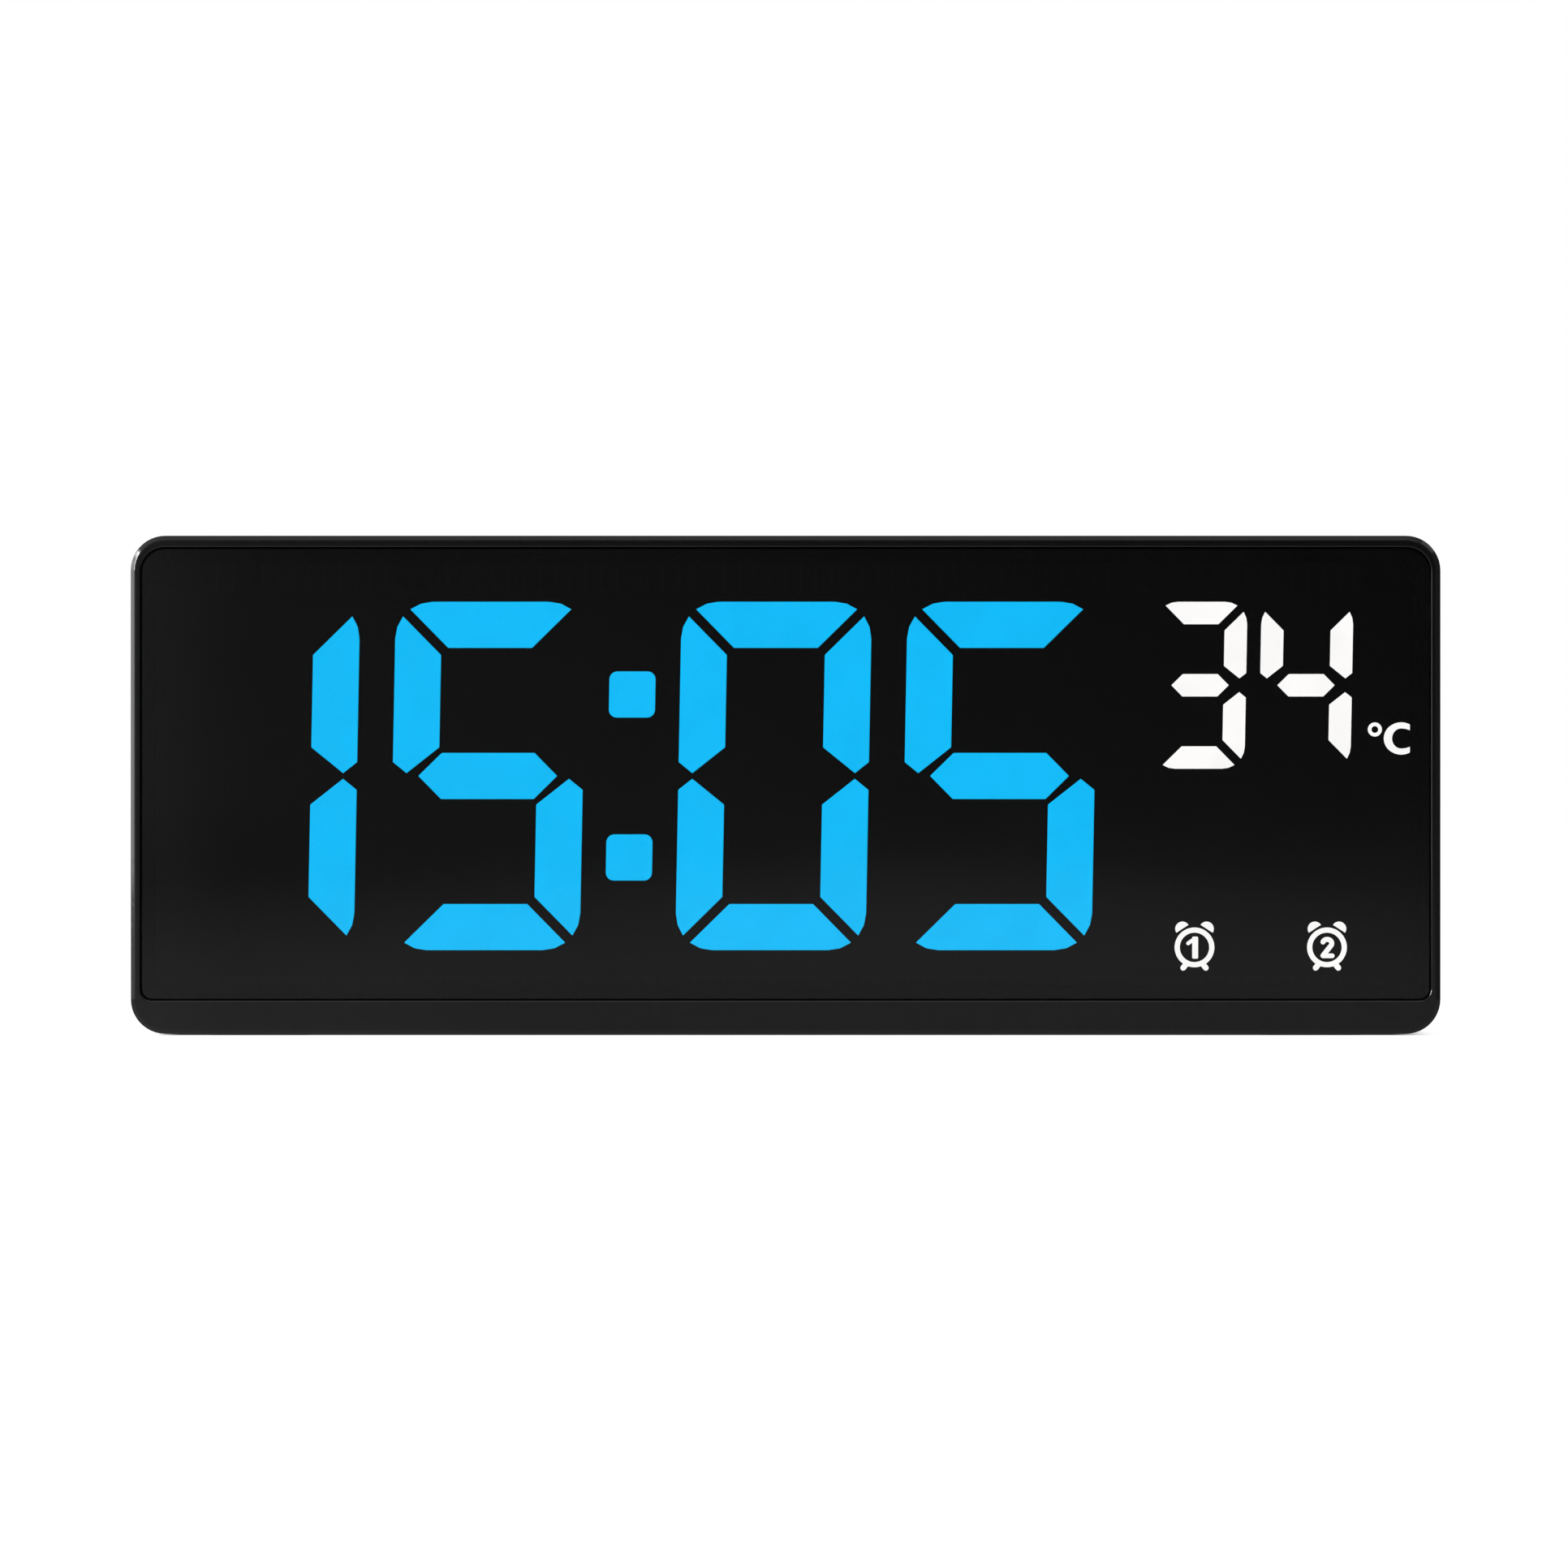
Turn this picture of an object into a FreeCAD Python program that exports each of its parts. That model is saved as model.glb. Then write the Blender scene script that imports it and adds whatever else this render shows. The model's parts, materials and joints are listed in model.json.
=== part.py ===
import FreeCAD, Part
import math
import os

import Sketcher
from FreeCAD import Placement, Rotation, Vector

# Desk clock with a large LED display. X runs to the right as the front is seen, Y runs from
# the front to the back, Z is up. The origin is at the middle of the base, on the table.

doc = FreeCAD.newDocument("desk_clock")

# Driving dimensions, in millimetres and degrees. A name that ends in Share is a ratio.
drivingSizes = {
    # outer form
    "caseWidth": 163.0,
    "caseHeight": 62.0,
    "caseCorner": 4.3,
    "baseDepth": 34.0,
    "topDepth": 22.0,
    "heelHeight": 7.0,
    "frontDepth": 12.0,
    "wall": 1.8,
    "frontEdge": 0.5,
    "backEdge": 0.9,
    "heelRound": 20.0,
    "seamGroove": 0.4,
    "lipLong": 1.5,
    "lipThick": 0.8,
    "fitGap": 0.1,
    "cutOver": 1.0,
    # window, lens and ledge
    "rimSide": 1.15,
    "rimTop": 1.4,
    "rimBottom": 4.1,
    "windowCorner": 1.45,
    "windowTopCorner": 3.1,
    "lensThick": 1.5,
    "lensInset": 0.1,
    "lensEdge": 0.1,
    "lensBevel": 0.2,
    "tapeThick": 0.15,
    "tapeEdge": 0.3,
    "ledgeWidth": 2.0,
    "ledgeThick": 1.2,
    # display stack
    "filmGap": 0.2,
    "filmThick": 0.3,
    "blockDepth": 6.5,
    "blockGap": 0.3,
    "blockSide": 0.15,
    "insertDepth": 2.2,
    "boardThick": 1.2,
    "boardEdge": 0.6,
    # large digits
    "digitsAbove": 8.2,
    "digitsBelow": 10.4,
    "digitsLeft": 1.25,
    "digitGap": 4.45,
    "colonGap": 11.9,
    "digitStroke": 5.75,
    "digitCorner": 4.6,
    "segmentGap": 1.25,
    "middleGap": 0.7,
    "tipInset": 3.2,
    "colonSize": 5.75,
    "colonCorner": 1.0,
    "colonSpread": 20.3,
    "leanShare": 0.0187,
    # small digits
    "smallWidth": 11.45,
    "smallHeight": 20.8,
    "smallStroke": 2.8,
    "smallSpace": 7.4,
    "smallBetween": 1.75,
    "smallCorner": 2.8,
    "smallGap": 1.1,
    "smallMiddleGap": 1.7,
    "smallTip": 2.15,
    # sign windows
    "signWide": 7.0,
    "signTall": 6.4,
    "signEdge": 0.4,
    "signShift": 0.65,
    "signPitch": 16.5,
    "degreeWidth": 5.4,
    "degreeHeight": 5.2,
    "degreeSpace": 1.85,
    "degreeRight": 0.55,
    "degreeAbove": 3.7,
    "blockCorner": 0.8,
    # light sources and parts on the boards
    "chipLong": 2.8,
    "chipWide": 2.2,
    "chipTall": 0.8,
    "smallChipLong": 1.6,
    "smallChipWide": 1.2,
    "smallChipTall": 0.6,
    "bodyTall": 1.5,
    "clockChipSide": 7.0,
    "driverLong": 10.0,
    "driverWide": 5.3,
    "crystalLong": 7.0,
    "crystalWide": 2.4,
    "capacitorLong": 3.4,
    "capacitorWide": 2.6,
    "capacitorPitch": 4.2,
    "partsBelow": 12.4,
    "clockShift": 50.0,
    "driverShift": 32.0,
    "crystalShift": 62.0,
    "capacitorShift": 22.0,
    "cableWidth": 9.0,
    "cableThick": 0.25,
    "cableSocketLong": 12.0,
    "cableSocketWide": 3.6,
    "buttonCableShift": 21.0,
    "buttonCableDrop": 4.8,
    "buttonCableRise": 9.2,
    "inletCableAbove": 6.4,
    "inletCableRise": 11.0,
    # screws and posts
    "postRadius": 2.45,
    "screwRadius": 1.1,
    "threadGap": 0.05,
    "headRadius": 1.75,
    "headTall": 1.4,
    "headGap": 0.2,
    "postWall": 1.2,
    "smallPostRadius": 1.9,
    "smallPilotDeep": 4.0,
    "screwLong": 8.0,
    "boardScrewLong": 5.0,
    "postFloor": 2.0,
    "screwInsetSide": 6.3,
    "cableToBoardScrew": 16.0,
    "screwInsetTop": 4.5,
    "screwInsetBottom": 4.55,
    "notchGap": 0.5,
    # battery bay, on the sloping back
    "cellRadius": 5.2,
    "cellLong": 43.3,
    "cellNipple": 1.9,
    "nippleTall": 0.9,
    "cellGap": 0.6,
    "springSpace": 3.4,
    "plateSpace": 0.8,
    "plateThick": 0.3,
    "springRadius": 3.4,
    "bayWall": 1.3,
    "bayUp": 2.2,
    "doorThick": 1.6,
    "doorLip": 2.0,
    "doorGap": 0.2,
    "doorCorner": 2.0,
    "latchWidth": 12.0,
    "latchGripDepth": 0.6,
    "ridgeWide": 0.9,
    "hookLong": 1.2,
    "hookThick": 1.0,
    # buttons
    "buttonLong": 9.0,
    "buttonWide": 4.4,
    "buttonPitch": 17.0,
    "buttonsBelow": 9.9,
    "buttonProud": 1.1,
    "buttonGap": 0.25,
    "buttonBevel": 0.5,
    "buttonFlange": 0.9,
    "flangeThick": 0.8,
    "buttonTravel": 0.4,
    "switchSide": 5.8,
    "switchTall": 3.1,
    "plungerRadius": 1.6,
    "plungerTall": 0.9,
    "plungerSeat": 0.2,
    "plungerGap": 0.05,
    "rearBoardThick": 1.2,
    "boardScrewEdge": 3.0,
    "buttonBoardWide": 11.0,
    # inlet, sounder, sensor and feet
    "inletInset": 27.5,
    "inletUp": 14.0,
    "inletLong": 9.0,
    "inletWide": 3.2,
    "inletShell": 0.3,
    "inletDeep": 6.5,
    "inletTongue": 0.7,
    "inletSink": 1.2,
    "inletScrewAcross": 8.0,
    "inletBoardLong": 22.0,
    "inletBoardWide": 12.0,
    "sounderRadius": 7.0,
    "sounderTall": 2.6,
    "sounderHole": 0.8,
    "sounderRing": 3.6,
    "sounderUp": 27.0,
    "ringWall": 1.0,
    "sensorRadius": 1.5,
    "sensorLong": 4.0,
    "sensorUp": 9.0,
    "ventLong": 9.0,
    "ventWide": 1.2,
    "ventPitch": 2.6,
    "footLong": 14.0,
    "footWide": 6.0,
    "footSink": 0.8,
    "footProud": 0.2,
    "footInset": 9.0,
    "footFront": 3.2,
    "footBack": 3.6,
    "footChamfer": 0.15,
}

sheet = doc.addObject("Spreadsheet::Sheet", "sizes")
for row, (name, value) in enumerate(drivingSizes.items(), start=1):
    sheet.set("A%d" % row, name)
    sheet.set("B%d" % row, str(value))
    sheet.setAlias("B%d" % row, name)
doc.recompute()


class Size:
    """A value with the expression that gives it from the sheet."""

    def __init__(self, value, text):
        self.value = value
        self.text = text

    def join(self, other, sign, value, turned=False):
        otherText = other.text if isinstance(other, Size) else repr(other)
        first, last = (otherText, self.text) if turned else (self.text, otherText)
        return Size(value, "(%s %s %s)" % (first, sign, last))

    def __add__(self, other):
        return self.join(other, "+", self.value + plain(other))

    def __radd__(self, other):
        return self.join(other, "+", plain(other) + self.value, True)

    def __sub__(self, other):
        return self.join(other, "-", self.value - plain(other))

    def __rsub__(self, other):
        return self.join(other, "-", plain(other) - self.value, True)

    def __mul__(self, other):
        return self.join(other, "*", self.value * plain(other))

    def __rmul__(self, other):
        return self.join(other, "*", plain(other) * self.value, True)

    def __truediv__(self, other):
        return self.join(other, "/", self.value / plain(other))

    def __neg__(self):
        return Size(-self.value, "(0 - %s)" % self.text)

    def root(self):
        return Size(math.sqrt(self.value), "sqrt(%s)" % self.text)


def plain(size):
    return size.value if isinstance(size, Size) else size


def textOf(size):
    return size.text if isinstance(size, Size) else repr(size)


class Sizes:
    """The cells of the sheet by name."""

    def __getattr__(self, name):
        return Size(drivingSizes[name], "sizes." + name)


S = Sizes()

# Levels along Z, from the table up, and along Y, from the front to the back.
caseBottom = S.footProud
caseTop = caseBottom + S.caseHeight
frontY = S.baseDepth / -2
backY = S.baseDepth / 2
seamY = frontY + S.frontDepth
lensFront = frontY + S.lensInset
lensBack = lensFront + S.lensThick
ledgeFront = lensBack + S.tapeThick
ledgeBack = ledgeFront + S.ledgeThick
filmFront = lensBack + S.filmGap
blockFront = filmFront + S.filmThick
boardFront = blockFront + S.blockDepth
boardBack = boardFront + S.boardThick
postEnd = seamY - S.lipLong - S.fitGap
topPostUp = caseTop - S.screwInsetTop
bottomPostUp = caseBottom + S.screwInsetBottom
caseScrewAcross = S.caseWidth / 2 - S.screwInsetSide
inletAcross = S.caseWidth / 2 - S.inletInset

# The buttons stand in a row, with a screw of their board one step past each end of it. Their
# cable lies inside the outer screw, and the screws of the display board clear it.
buttonNames = ["set_button", "up_button", "down_button", "alarm_button", "dimmer_button"]
middleButton = (len(buttonNames) - 1) / 2
buttonScrewAcross = S.buttonPitch * (middleButton + 1)
cableAcross = buttonScrewAcross - S.buttonCableShift
boardScrewAcross = cableAcross + S.cableToBoardScrew

# The sloping back: its crease above the heel, and the sine and cosine of its lean.
heelUp = caseBottom + S.heelHeight
slopeRise = S.caseHeight - S.heelHeight
slopeRun = S.baseDepth - S.topDepth
slopeLong = (slopeRise * slopeRise + slopeRun * slopeRun).root()
buttonUp = slopeLong - S.buttonsBelow
slopeSin = slopeRun / slopeLong
slopeCos = slopeRise / slopeLong
slopeAngle = Size(
    math.degrees(math.atan2(slopeRun.value, slopeRise.value)),
    "(atan(%s / %s) / (1 deg))" % (slopeRun.text, slopeRise.text),
)
halfTurnShare = 0.5
quarterTurn = 90


def slopeY(up, out):
    """Y of a point that lies up along the sloping back and out from it."""
    return backY - up * slopeSin + out * slopeCos


def slopeZ(up, out):
    return heelUp + up * slopeCos + out * slopeSin


def placeOnSlope(thing, across, up, out, turned=False, over=False, tip=0):
    """Sets a piece drawn with X to the left, Y up and Z outwards on the sloping back. It can be
    turned half round in its plane, turned over, or tipped along the slope by a number of degrees."""
    half = (90 - slopeAngle) * halfTurnShare
    turn = "rotation(vector(0; sin(%s); cos(%s)); 180)" % (half.text, half.text)
    if turned:
        turn += " * rotation(vector(0; 0; 1); 180)"
    if over:
        turn += " * rotation(vector(1; 0; 0); 180)"
    if tip:
        turn += " * rotation(vector(0; 1; 0); %d)" % tip
    where = "vector(%s; %s; %s)" % (textOf(across), slopeY(up, out).text, slopeZ(up, out).text)
    thing.setExpression("Placement", "placement(%s; %s)" % (where, turn))


# Sketches and features.


def drawLoop(sketch, corners):
    """Draws one closed loop, counterclockwise. A corner is (x, y) or (x, y, radius), where the
    radius makes the edge to the next corner an arc that bulges outwards."""
    first = sketch.GeometryCount
    edges = []
    for here, there in zip(corners, corners[1:] + corners[:1]):
        a = Vector(plain(here[0]), plain(here[1]), 0)
        b = Vector(plain(there[0]), plain(there[1]), 0)
        if len(here) < 3 or here[2] is None:
            edges.append(Part.LineSegment(a, b))
            continue
        radius = plain(here[2])
        chord = b - a
        reach = math.sqrt(max(radius * radius - chord.Length * chord.Length / 4, 0))
        side = Vector(-chord.y, chord.x, 0).normalize()
        centre = (a + b) / 2 + side * reach
        start = math.atan2(a.y - centre.y, a.x - centre.x)
        end = math.atan2(b.y - centre.y, b.x - centre.x)
        if end < start:
            end += 2 * math.pi
        edges.append(Part.ArcOfCircle(Part.Circle(centre, Vector(0, 0, 1), radius), start, end))
    sketch.addGeometry(edges, False)
    count = len(corners)
    rules = []
    bound = []
    for i in range(count):
        rules.append(Sketcher.Constraint("Coincident", first + i, 2, first + (i + 1) % count, 1))
    for i, corner in enumerate(corners):
        for kind, value in (("DistanceX", corner[0]), ("DistanceY", corner[1])):
            rules.append(Sketcher.Constraint(kind, -1, 1, first + i, 1, plain(value)))
            bound.append((len(rules) - 1, value))
        if len(corner) > 2 and corner[2] is not None:
            rules.append(Sketcher.Constraint("Radius", first + i, plain(corner[2])))
            bound.append((len(rules) - 1, corner[2]))
    bindRules(sketch, rules, bound)


def bindRules(sketch, rules, bound):
    """Adds constraints and binds the measured ones to the sheet."""
    offset = sketch.ConstraintCount
    sketch.addConstraint(rules)
    for index, value in bound:
        if isinstance(value, Size):
            sketch.setExpression("Constraints[%d]" % (offset + index), value.text)


def drawCircle(sketch, x, y, radius):
    first = sketch.GeometryCount
    centre = Vector(plain(x), plain(y), 0)
    sketch.addGeometry(Part.Circle(centre, Vector(0, 0, 1), plain(radius)), False)
    rules = [
        Sketcher.Constraint("Radius", first, plain(radius)),
        Sketcher.Constraint("DistanceX", -1, 1, first, 3, plain(x)),
        Sketcher.Constraint("DistanceY", -1, 1, first, 3, plain(y)),
    ]
    bindRules(sketch, rules, [(0, radius), (1, x), (2, y)])


def drawPeg(sketch, x, y, radius):
    """A small hidden round, such as a screw, its post or its hole, drawn with a few flat sides."""
    corners = []
    for step in range(pegSides):
        turn = 2 * math.pi * step / pegSides
        corners.append((x + radius * math.cos(turn), y + radius * math.sin(turn)))
    drawLoop(sketch, corners)


pegSides = 12


def roundedBox(x, y, long, wide, radius, topRadius=None):
    """Corners of a box with rounded corners, centred on (x, y)."""
    r = radius
    q = radius if topRadius is None else topRadius
    left, right = x - long / 2, x + long / 2
    low, high = y - wide / 2, y + wide / 2
    return [
        (left + r, low),
        (right - r, low, r),
        (right, low + r),
        (right, high - q, q),
        (right - q, high),
        (left + q, high, q),
        (left, high - q),
        (left, low + r, r),
    ]


def cutBox(x, y, long, wide, cut):
    """Corners of a box whose own corners are cut off at 45 degrees."""
    left, right = x - long / 2, x + long / 2
    low, high = y - wide / 2, y + wide / 2
    return [
        (left + cut, low),
        (right - cut, low),
        (right, low + cut),
        (right, high - cut),
        (right - cut, high),
        (left + cut, high),
        (left, high - cut),
        (left, low + cut),
    ]


def sharpBox(x, y, long, wide):
    left, right = x - long / 2, x + long / 2
    low, high = y - wide / 2, y + wide / 2
    return [(left, low), (right, low), (right, high), (left, high)]


def newBody(label):
    body = doc.addObject("PartDesign::Body", label)
    body.Label = label
    return body


def newSketch(body, role, away):
    """A sketch on one of a body's own planes, moved along the plane's normal."""
    sketch = body.newObject("Sketcher::SketchObject", body.Label + "_outline")
    plane = next(o for o in body.Origin.OriginFeatures if o.Role == role)
    sketch.AttachmentSupport = (plane, [""])
    sketch.MapMode = "FlatFace"
    if isinstance(away, Size):
        sketch.setExpression("AttachmentOffset.Base.z", away.text)
    return sketch


def frontSketch(body, y):
    """A sketch at depth y, drawn in X and Z as the front is seen."""
    return newSketch(body, "XZ_Plane", -y if isinstance(y, Size) else y)


def slopeSketch(body, out):
    """A sketch on the sloping back, drawn with X to the left, Y up the slope from the crease,
    and its normal outwards."""
    sketch = body.newObject("Sketcher::SketchObject", body.Label + "_slope")
    plane = next(o for o in body.Origin.OriginFeatures if o.Role == "XZ_Plane")
    sketch.AttachmentSupport = (plane, [""])
    sketch.MapMode = "FlatFace"
    sketch.MapReversed = True
    sketch.AttachmentOffset = Placement(Vector(0, 0, 0), Rotation(Vector(-1, 0, 0), slopeAngle.value))
    sketch.setExpression("AttachmentOffset.Rotation.Angle", slopeAngle.text)
    sketch.setExpression("AttachmentOffset.Base.z", slopeY(0, out).text)
    sketch.setExpression("AttachmentOffset.Base.y", slopeZ(0, out).text)
    return sketch


def addFeature(body, kind, sketch, length, back=False, both=False):
    """A Pad or Pocket of a sketch."""
    feature = body.newObject("PartDesign::" + kind, "%s_%s" % (body.Label, kind.lower()))
    feature.Profile = sketch
    sketch.Visibility = False
    feature.setExpression("Length", textOf(length))
    feature.Reversed = back
    if both:
        feature.Midplane = True
    doc.recompute()
    return feature


def pad(body, sketch, length, back=False, both=False):
    return addFeature(body, "Pad", sketch, length, back, both)


def pocket(body, sketch, length, back=False, both=False):
    """Cuts a sketch out of a body and makes sure that something was cut."""
    before = body.Shape.Volume
    feature = addFeature(body, "Pocket", sketch, length, back, both)
    if not body.Shape.Volume < before:
        raise RuntimeError("a pocket in %s cuts nothing" % body.Label)
    return feature


def roundEdges(body, kind, size, test):
    """A Fillet or Chamfer on the edges of a body whose middle point passes a test."""
    base = body.Tip
    names = []
    for number, edge in enumerate(base.Shape.Edges, start=1):
        middle = edge.valueAt((edge.FirstParameter + edge.LastParameter) / 2)
        if test(edge, middle):
            names.append("Edge%d" % number)
    if not names:
        raise RuntimeError("no edges to round on %s" % body.Label)
    feature = body.newObject("PartDesign::" + kind, "%s_%s" % (body.Label, kind.lower()))
    feature.Base = (base, names)
    feature.setExpression("Radius" if kind == "Fillet" else "Size", size.text)
    doc.recompute()
    return feature


def near(a, b):
    return abs(plain(a) - plain(b)) < closeEnough


def straightAlong(edge, axis):
    """True for a straight edge along an axis."""
    if edge.Curve.TypeId != "Part::GeomLine":
        return False
    return abs(edge.tangentAt(edge.FirstParameter).dot(axis)) > alongShare


closeEnough = 0.001
alongShare = 0.999
alongY = Vector(0, 1, 0)
subParts = {}


def keep(thing, label=None):
    """Notes a finished sub-part under its name."""
    if label:
        thing.Label = label
    subParts[thing.Label] = thing
    return thing


windowWide = S.caseWidth - S.rimSide * 2
windowTall = S.caseHeight - S.rimTop - S.rimBottom
windowUp = caseBottom + S.rimBottom + windowTall / 2
innerWide = S.caseWidth - S.wall * 2
innerTall = S.caseHeight - S.wall * 2
innerCorner = S.caseCorner - S.wall
middleUp = caseBottom + S.caseHeight / 2


def windowLoop(inset):
    """The window's outline, drawn in by an inset."""
    wide = windowWide - inset * 2
    tall = windowTall - inset * 2
    return roundedBox(0, windowUp, wide, tall, S.windowCorner, S.windowTopCorner)


def makeFrontCase():
    body = newBody("front_case")
    sketch = frontSketch(body, frontY)
    drawLoop(sketch, roundedBox(0, middleUp, S.caseWidth, S.caseHeight, S.caseCorner))
    pad(body, sketch, S.frontDepth, back=True)
    roundEdges(body, "Chamfer", S.frontEdge, lambda edge, middle: near(middle.y, frontY))
    sketch = frontSketch(body, frontY)
    drawLoop(sketch, windowLoop(0))
    pocket(body, sketch, ledgeFront - frontY)
    sketch = frontSketch(body, ledgeFront)
    drawLoop(sketch, windowLoop(S.ledgeWidth))
    pocket(body, sketch, S.ledgeThick + S.cutOver)
    sketch = frontSketch(body, ledgeBack)
    drawLoop(sketch, roundedBox(0, middleUp, innerWide, innerTall, innerCorner))
    pocket(body, sketch, seamY - ledgeBack + S.cutOver)
    roundEdges(
        body,
        "Chamfer",
        S.seamGroove,
        lambda edge, middle: near(middle.y, seamY) and onOutline(middle),
    )
    sketch = frontSketch(body, ledgeBack)
    for x, z in postPlaces(boardScrewAcross):
        drawPeg(sketch, x, z, S.postRadius)
    pad(body, sketch, boardFront - ledgeBack, back=True)
    sketch = frontSketch(body, ledgeBack)
    for x, z in postPlaces(caseScrewAcross):
        drawPeg(sketch, x, z, S.postRadius)
    pad(body, sketch, postEnd - ledgeBack, back=True)
    sketch = frontSketch(body, boardFront - S.boardScrewLong + S.boardThick)
    for x, z in postPlaces(boardScrewAcross):
        drawPeg(sketch, x, z, pilotRadius)
    pocket(body, sketch, S.boardScrewLong)
    sketch = frontSketch(body, screwTip)
    for x, z in postPlaces(caseScrewAcross):
        drawPeg(sketch, x, z, pilotRadius)
    pocket(body, sketch, postEnd - screwTip + S.cutOver)
    cutFootSeats(body, frontFootY)
    keep(body)


def onOutline(point):
    """True for a point on the outer outline of the case, seen from the front."""
    acrossEdge = S.caseWidth.value / 2 - S.wall.value / 2
    upEdge = S.caseHeight.value / 2 - S.wall.value / 2
    if abs(point.x) > acrossEdge or abs(point.z - middleUp.value) > upEdge:
        return True
    return False


def postPlaces(across):
    return [(sign * across, z) for z in (topPostUp, bottomPostUp) for sign in (-1, 1)]


pilotRadius = S.screwRadius + S.threadGap
screwHeadY = postEnd + S.postFloor
screwTip = screwHeadY - S.screwLong
frontFootY = frontY + S.footFront + S.footWide / 2
backFootY = backY - S.footBack - S.footWide / 2
footAcross = S.caseWidth / 2 - S.footInset - S.footLong / 2


def footLoop(x, y, gap):
    long = S.footLong + gap * 2
    wide = S.footWide + gap * 2
    return cutBox(x, y, long, wide, wide * cornerShare)


cornerShare = 0.2


def cutFootSeats(body, y):
    sketch = newSketch(body, "XY_Plane", caseBottom)
    for sign in (-1, 1):
        drawLoop(sketch, footLoop(sign * footAcross, y, S.fitGap))
    pocket(body, sketch, S.footSink, back=True)


# The lens, its tape and the display stack, from the front to the back.


def makeLens():
    body = newBody("front_lens")
    sketch = frontSketch(body, lensFront)
    drawLoop(sketch, windowLoop(S.lensEdge))
    pad(body, sketch, S.lensThick, back=True)
    roundEdges(body, "Chamfer", S.lensBevel, lambda edge, middle: near(middle.y, lensFront))
    keep(body)
    tape = newBody("lens_tape")
    sketch = frontSketch(tape, lensBack)
    drawLoop(sketch, windowLoop(S.tapeEdge))
    drawLoop(sketch, windowLoop(S.ledgeWidth))
    pad(tape, sketch, S.tapeThick, back=True)
    keep(tape)


def flip(corners, mirrorX, mirrorY):
    """A loop mirrored about the digit's middle lines, still counterclockwise."""
    loop = []
    for corner in corners:
        x = -corner[0] if mirrorX else corner[0]
        y = -corner[1] if mirrorY else corner[1]
        loop.append((x, y, corner[2] if len(corner) > 2 else None))
    if mirrorX == mirrorY:
        return loop
    turned = [(x, y) for x, y, arc in reversed(loop)]
    arcs = [arc for x, y, arc in reversed(loop)]
    return [(x, y, arc) for (x, y), arc in zip(turned, arcs[1:] + arcs[:1])]


apexShare = 0.3
apexSlopeShare = 0.8
diagonalShare = math.sqrt(0.5)


def segmentLoops(wide, tall, stroke, corner, gap, middleGap, tip):
    """The seven segments of one digit about its middle: each end is cut at 45 degrees through
    the digit's corner, and each half of a round outer corner has two flat sides."""
    w = wide / 2
    h = tall / 2
    k = gap * diagonalShare
    reach = (corner * corner * 2 - k * k).root()
    p = (k - reach) / 2
    q = (k + reach) / 2
    arm = (p * p + (corner + q) * (corner + q)).root()
    shortReach = p * corner / arm
    longReach = (corner + q) * corner / arm
    top = [
        (stroke + k - w, h - stroke),
        (w - stroke - k, h - stroke),
        (w - corner - p, h - corner + q),
        (w - corner - shortReach, h - corner + longReach),
        (w - corner, h),
        (corner - w, h),
        (corner + shortReach - w, h - corner + longReach),
        (corner + p - w, h - corner + q),
    ]
    apex = stroke * apexShare
    m = middleGap / 2
    side = [
        (corner - q - w, h - corner - p),
        (corner - longReach - w, h - corner - shortReach),
        (-w, h - corner),
        (-w, m + apex * apexSlopeShare),
        (apex - w, m),
        (stroke - w, m + (stroke - apex) * apexSlopeShare),
        (stroke - w, h - stroke - k),
    ]
    shoulder = stroke / 2
    bar = [
        (tip - w, 0),
        (tip + shoulder - w, -shoulder),
        (w - tip - shoulder, -shoulder),
        (w - tip, 0),
        (w - tip - shoulder, shoulder),
        (tip + shoulder - w, shoulder),
    ]
    return {
        "a": top,
        "b": flip(side, True, False),
        "c": flip(side, True, True),
        "d": flip(top, False, True),
        "e": flip(side, False, True),
        "f": side,
        "g": bar,
    }


def lean(corners, across, up):
    """Moves a loop to its place and leans it to the right as it rises."""
    loop = []
    for corner in corners:
        x = across + corner[0] + corner[1] * S.leanShare
        loop.append((x, up + corner[1]) + tuple(corner[2:]))
    return loop


def frontOutline(name, loops):
    """A sketch of its own at the front of the film."""
    sketch = doc.addObject("Sketcher::SketchObject", name + "_outline")
    where = "placement(vector(0; %s; 0); rotation(vector(1; 0; 0); 90))" % filmFront.text
    sketch.setExpression("Placement", where)
    for loop in loops:
        drawLoop(sketch, loop)
    return sketch


cavityTools = []


def extrude(name, sketch, length, before=0):
    """A solid drawn back from the film's front, and forward by a little where it cuts."""
    solid = doc.addObject("Part::Extrusion", name)
    solid.Base = sketch
    solid.DirMode = "Custom"
    solid.Dir = alongY
    solid.Solid = True
    solid.setExpression("LengthFwd", length.text)
    if before:
        solid.setExpression("LengthRev", before.text)
    return solid


def makeInsert(name, loops):
    """A translucent insert that fills the front of its cavity, and the cavity's own tool."""
    sketch = frontOutline(name, loops)
    through = S.filmThick + S.blockDepth + S.cutOver
    cavityTools.append(extrude(name + "_cavity", sketch, through, S.cutOver))
    return extrude(name, sketch, S.filmThick + S.insertDepth)


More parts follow.
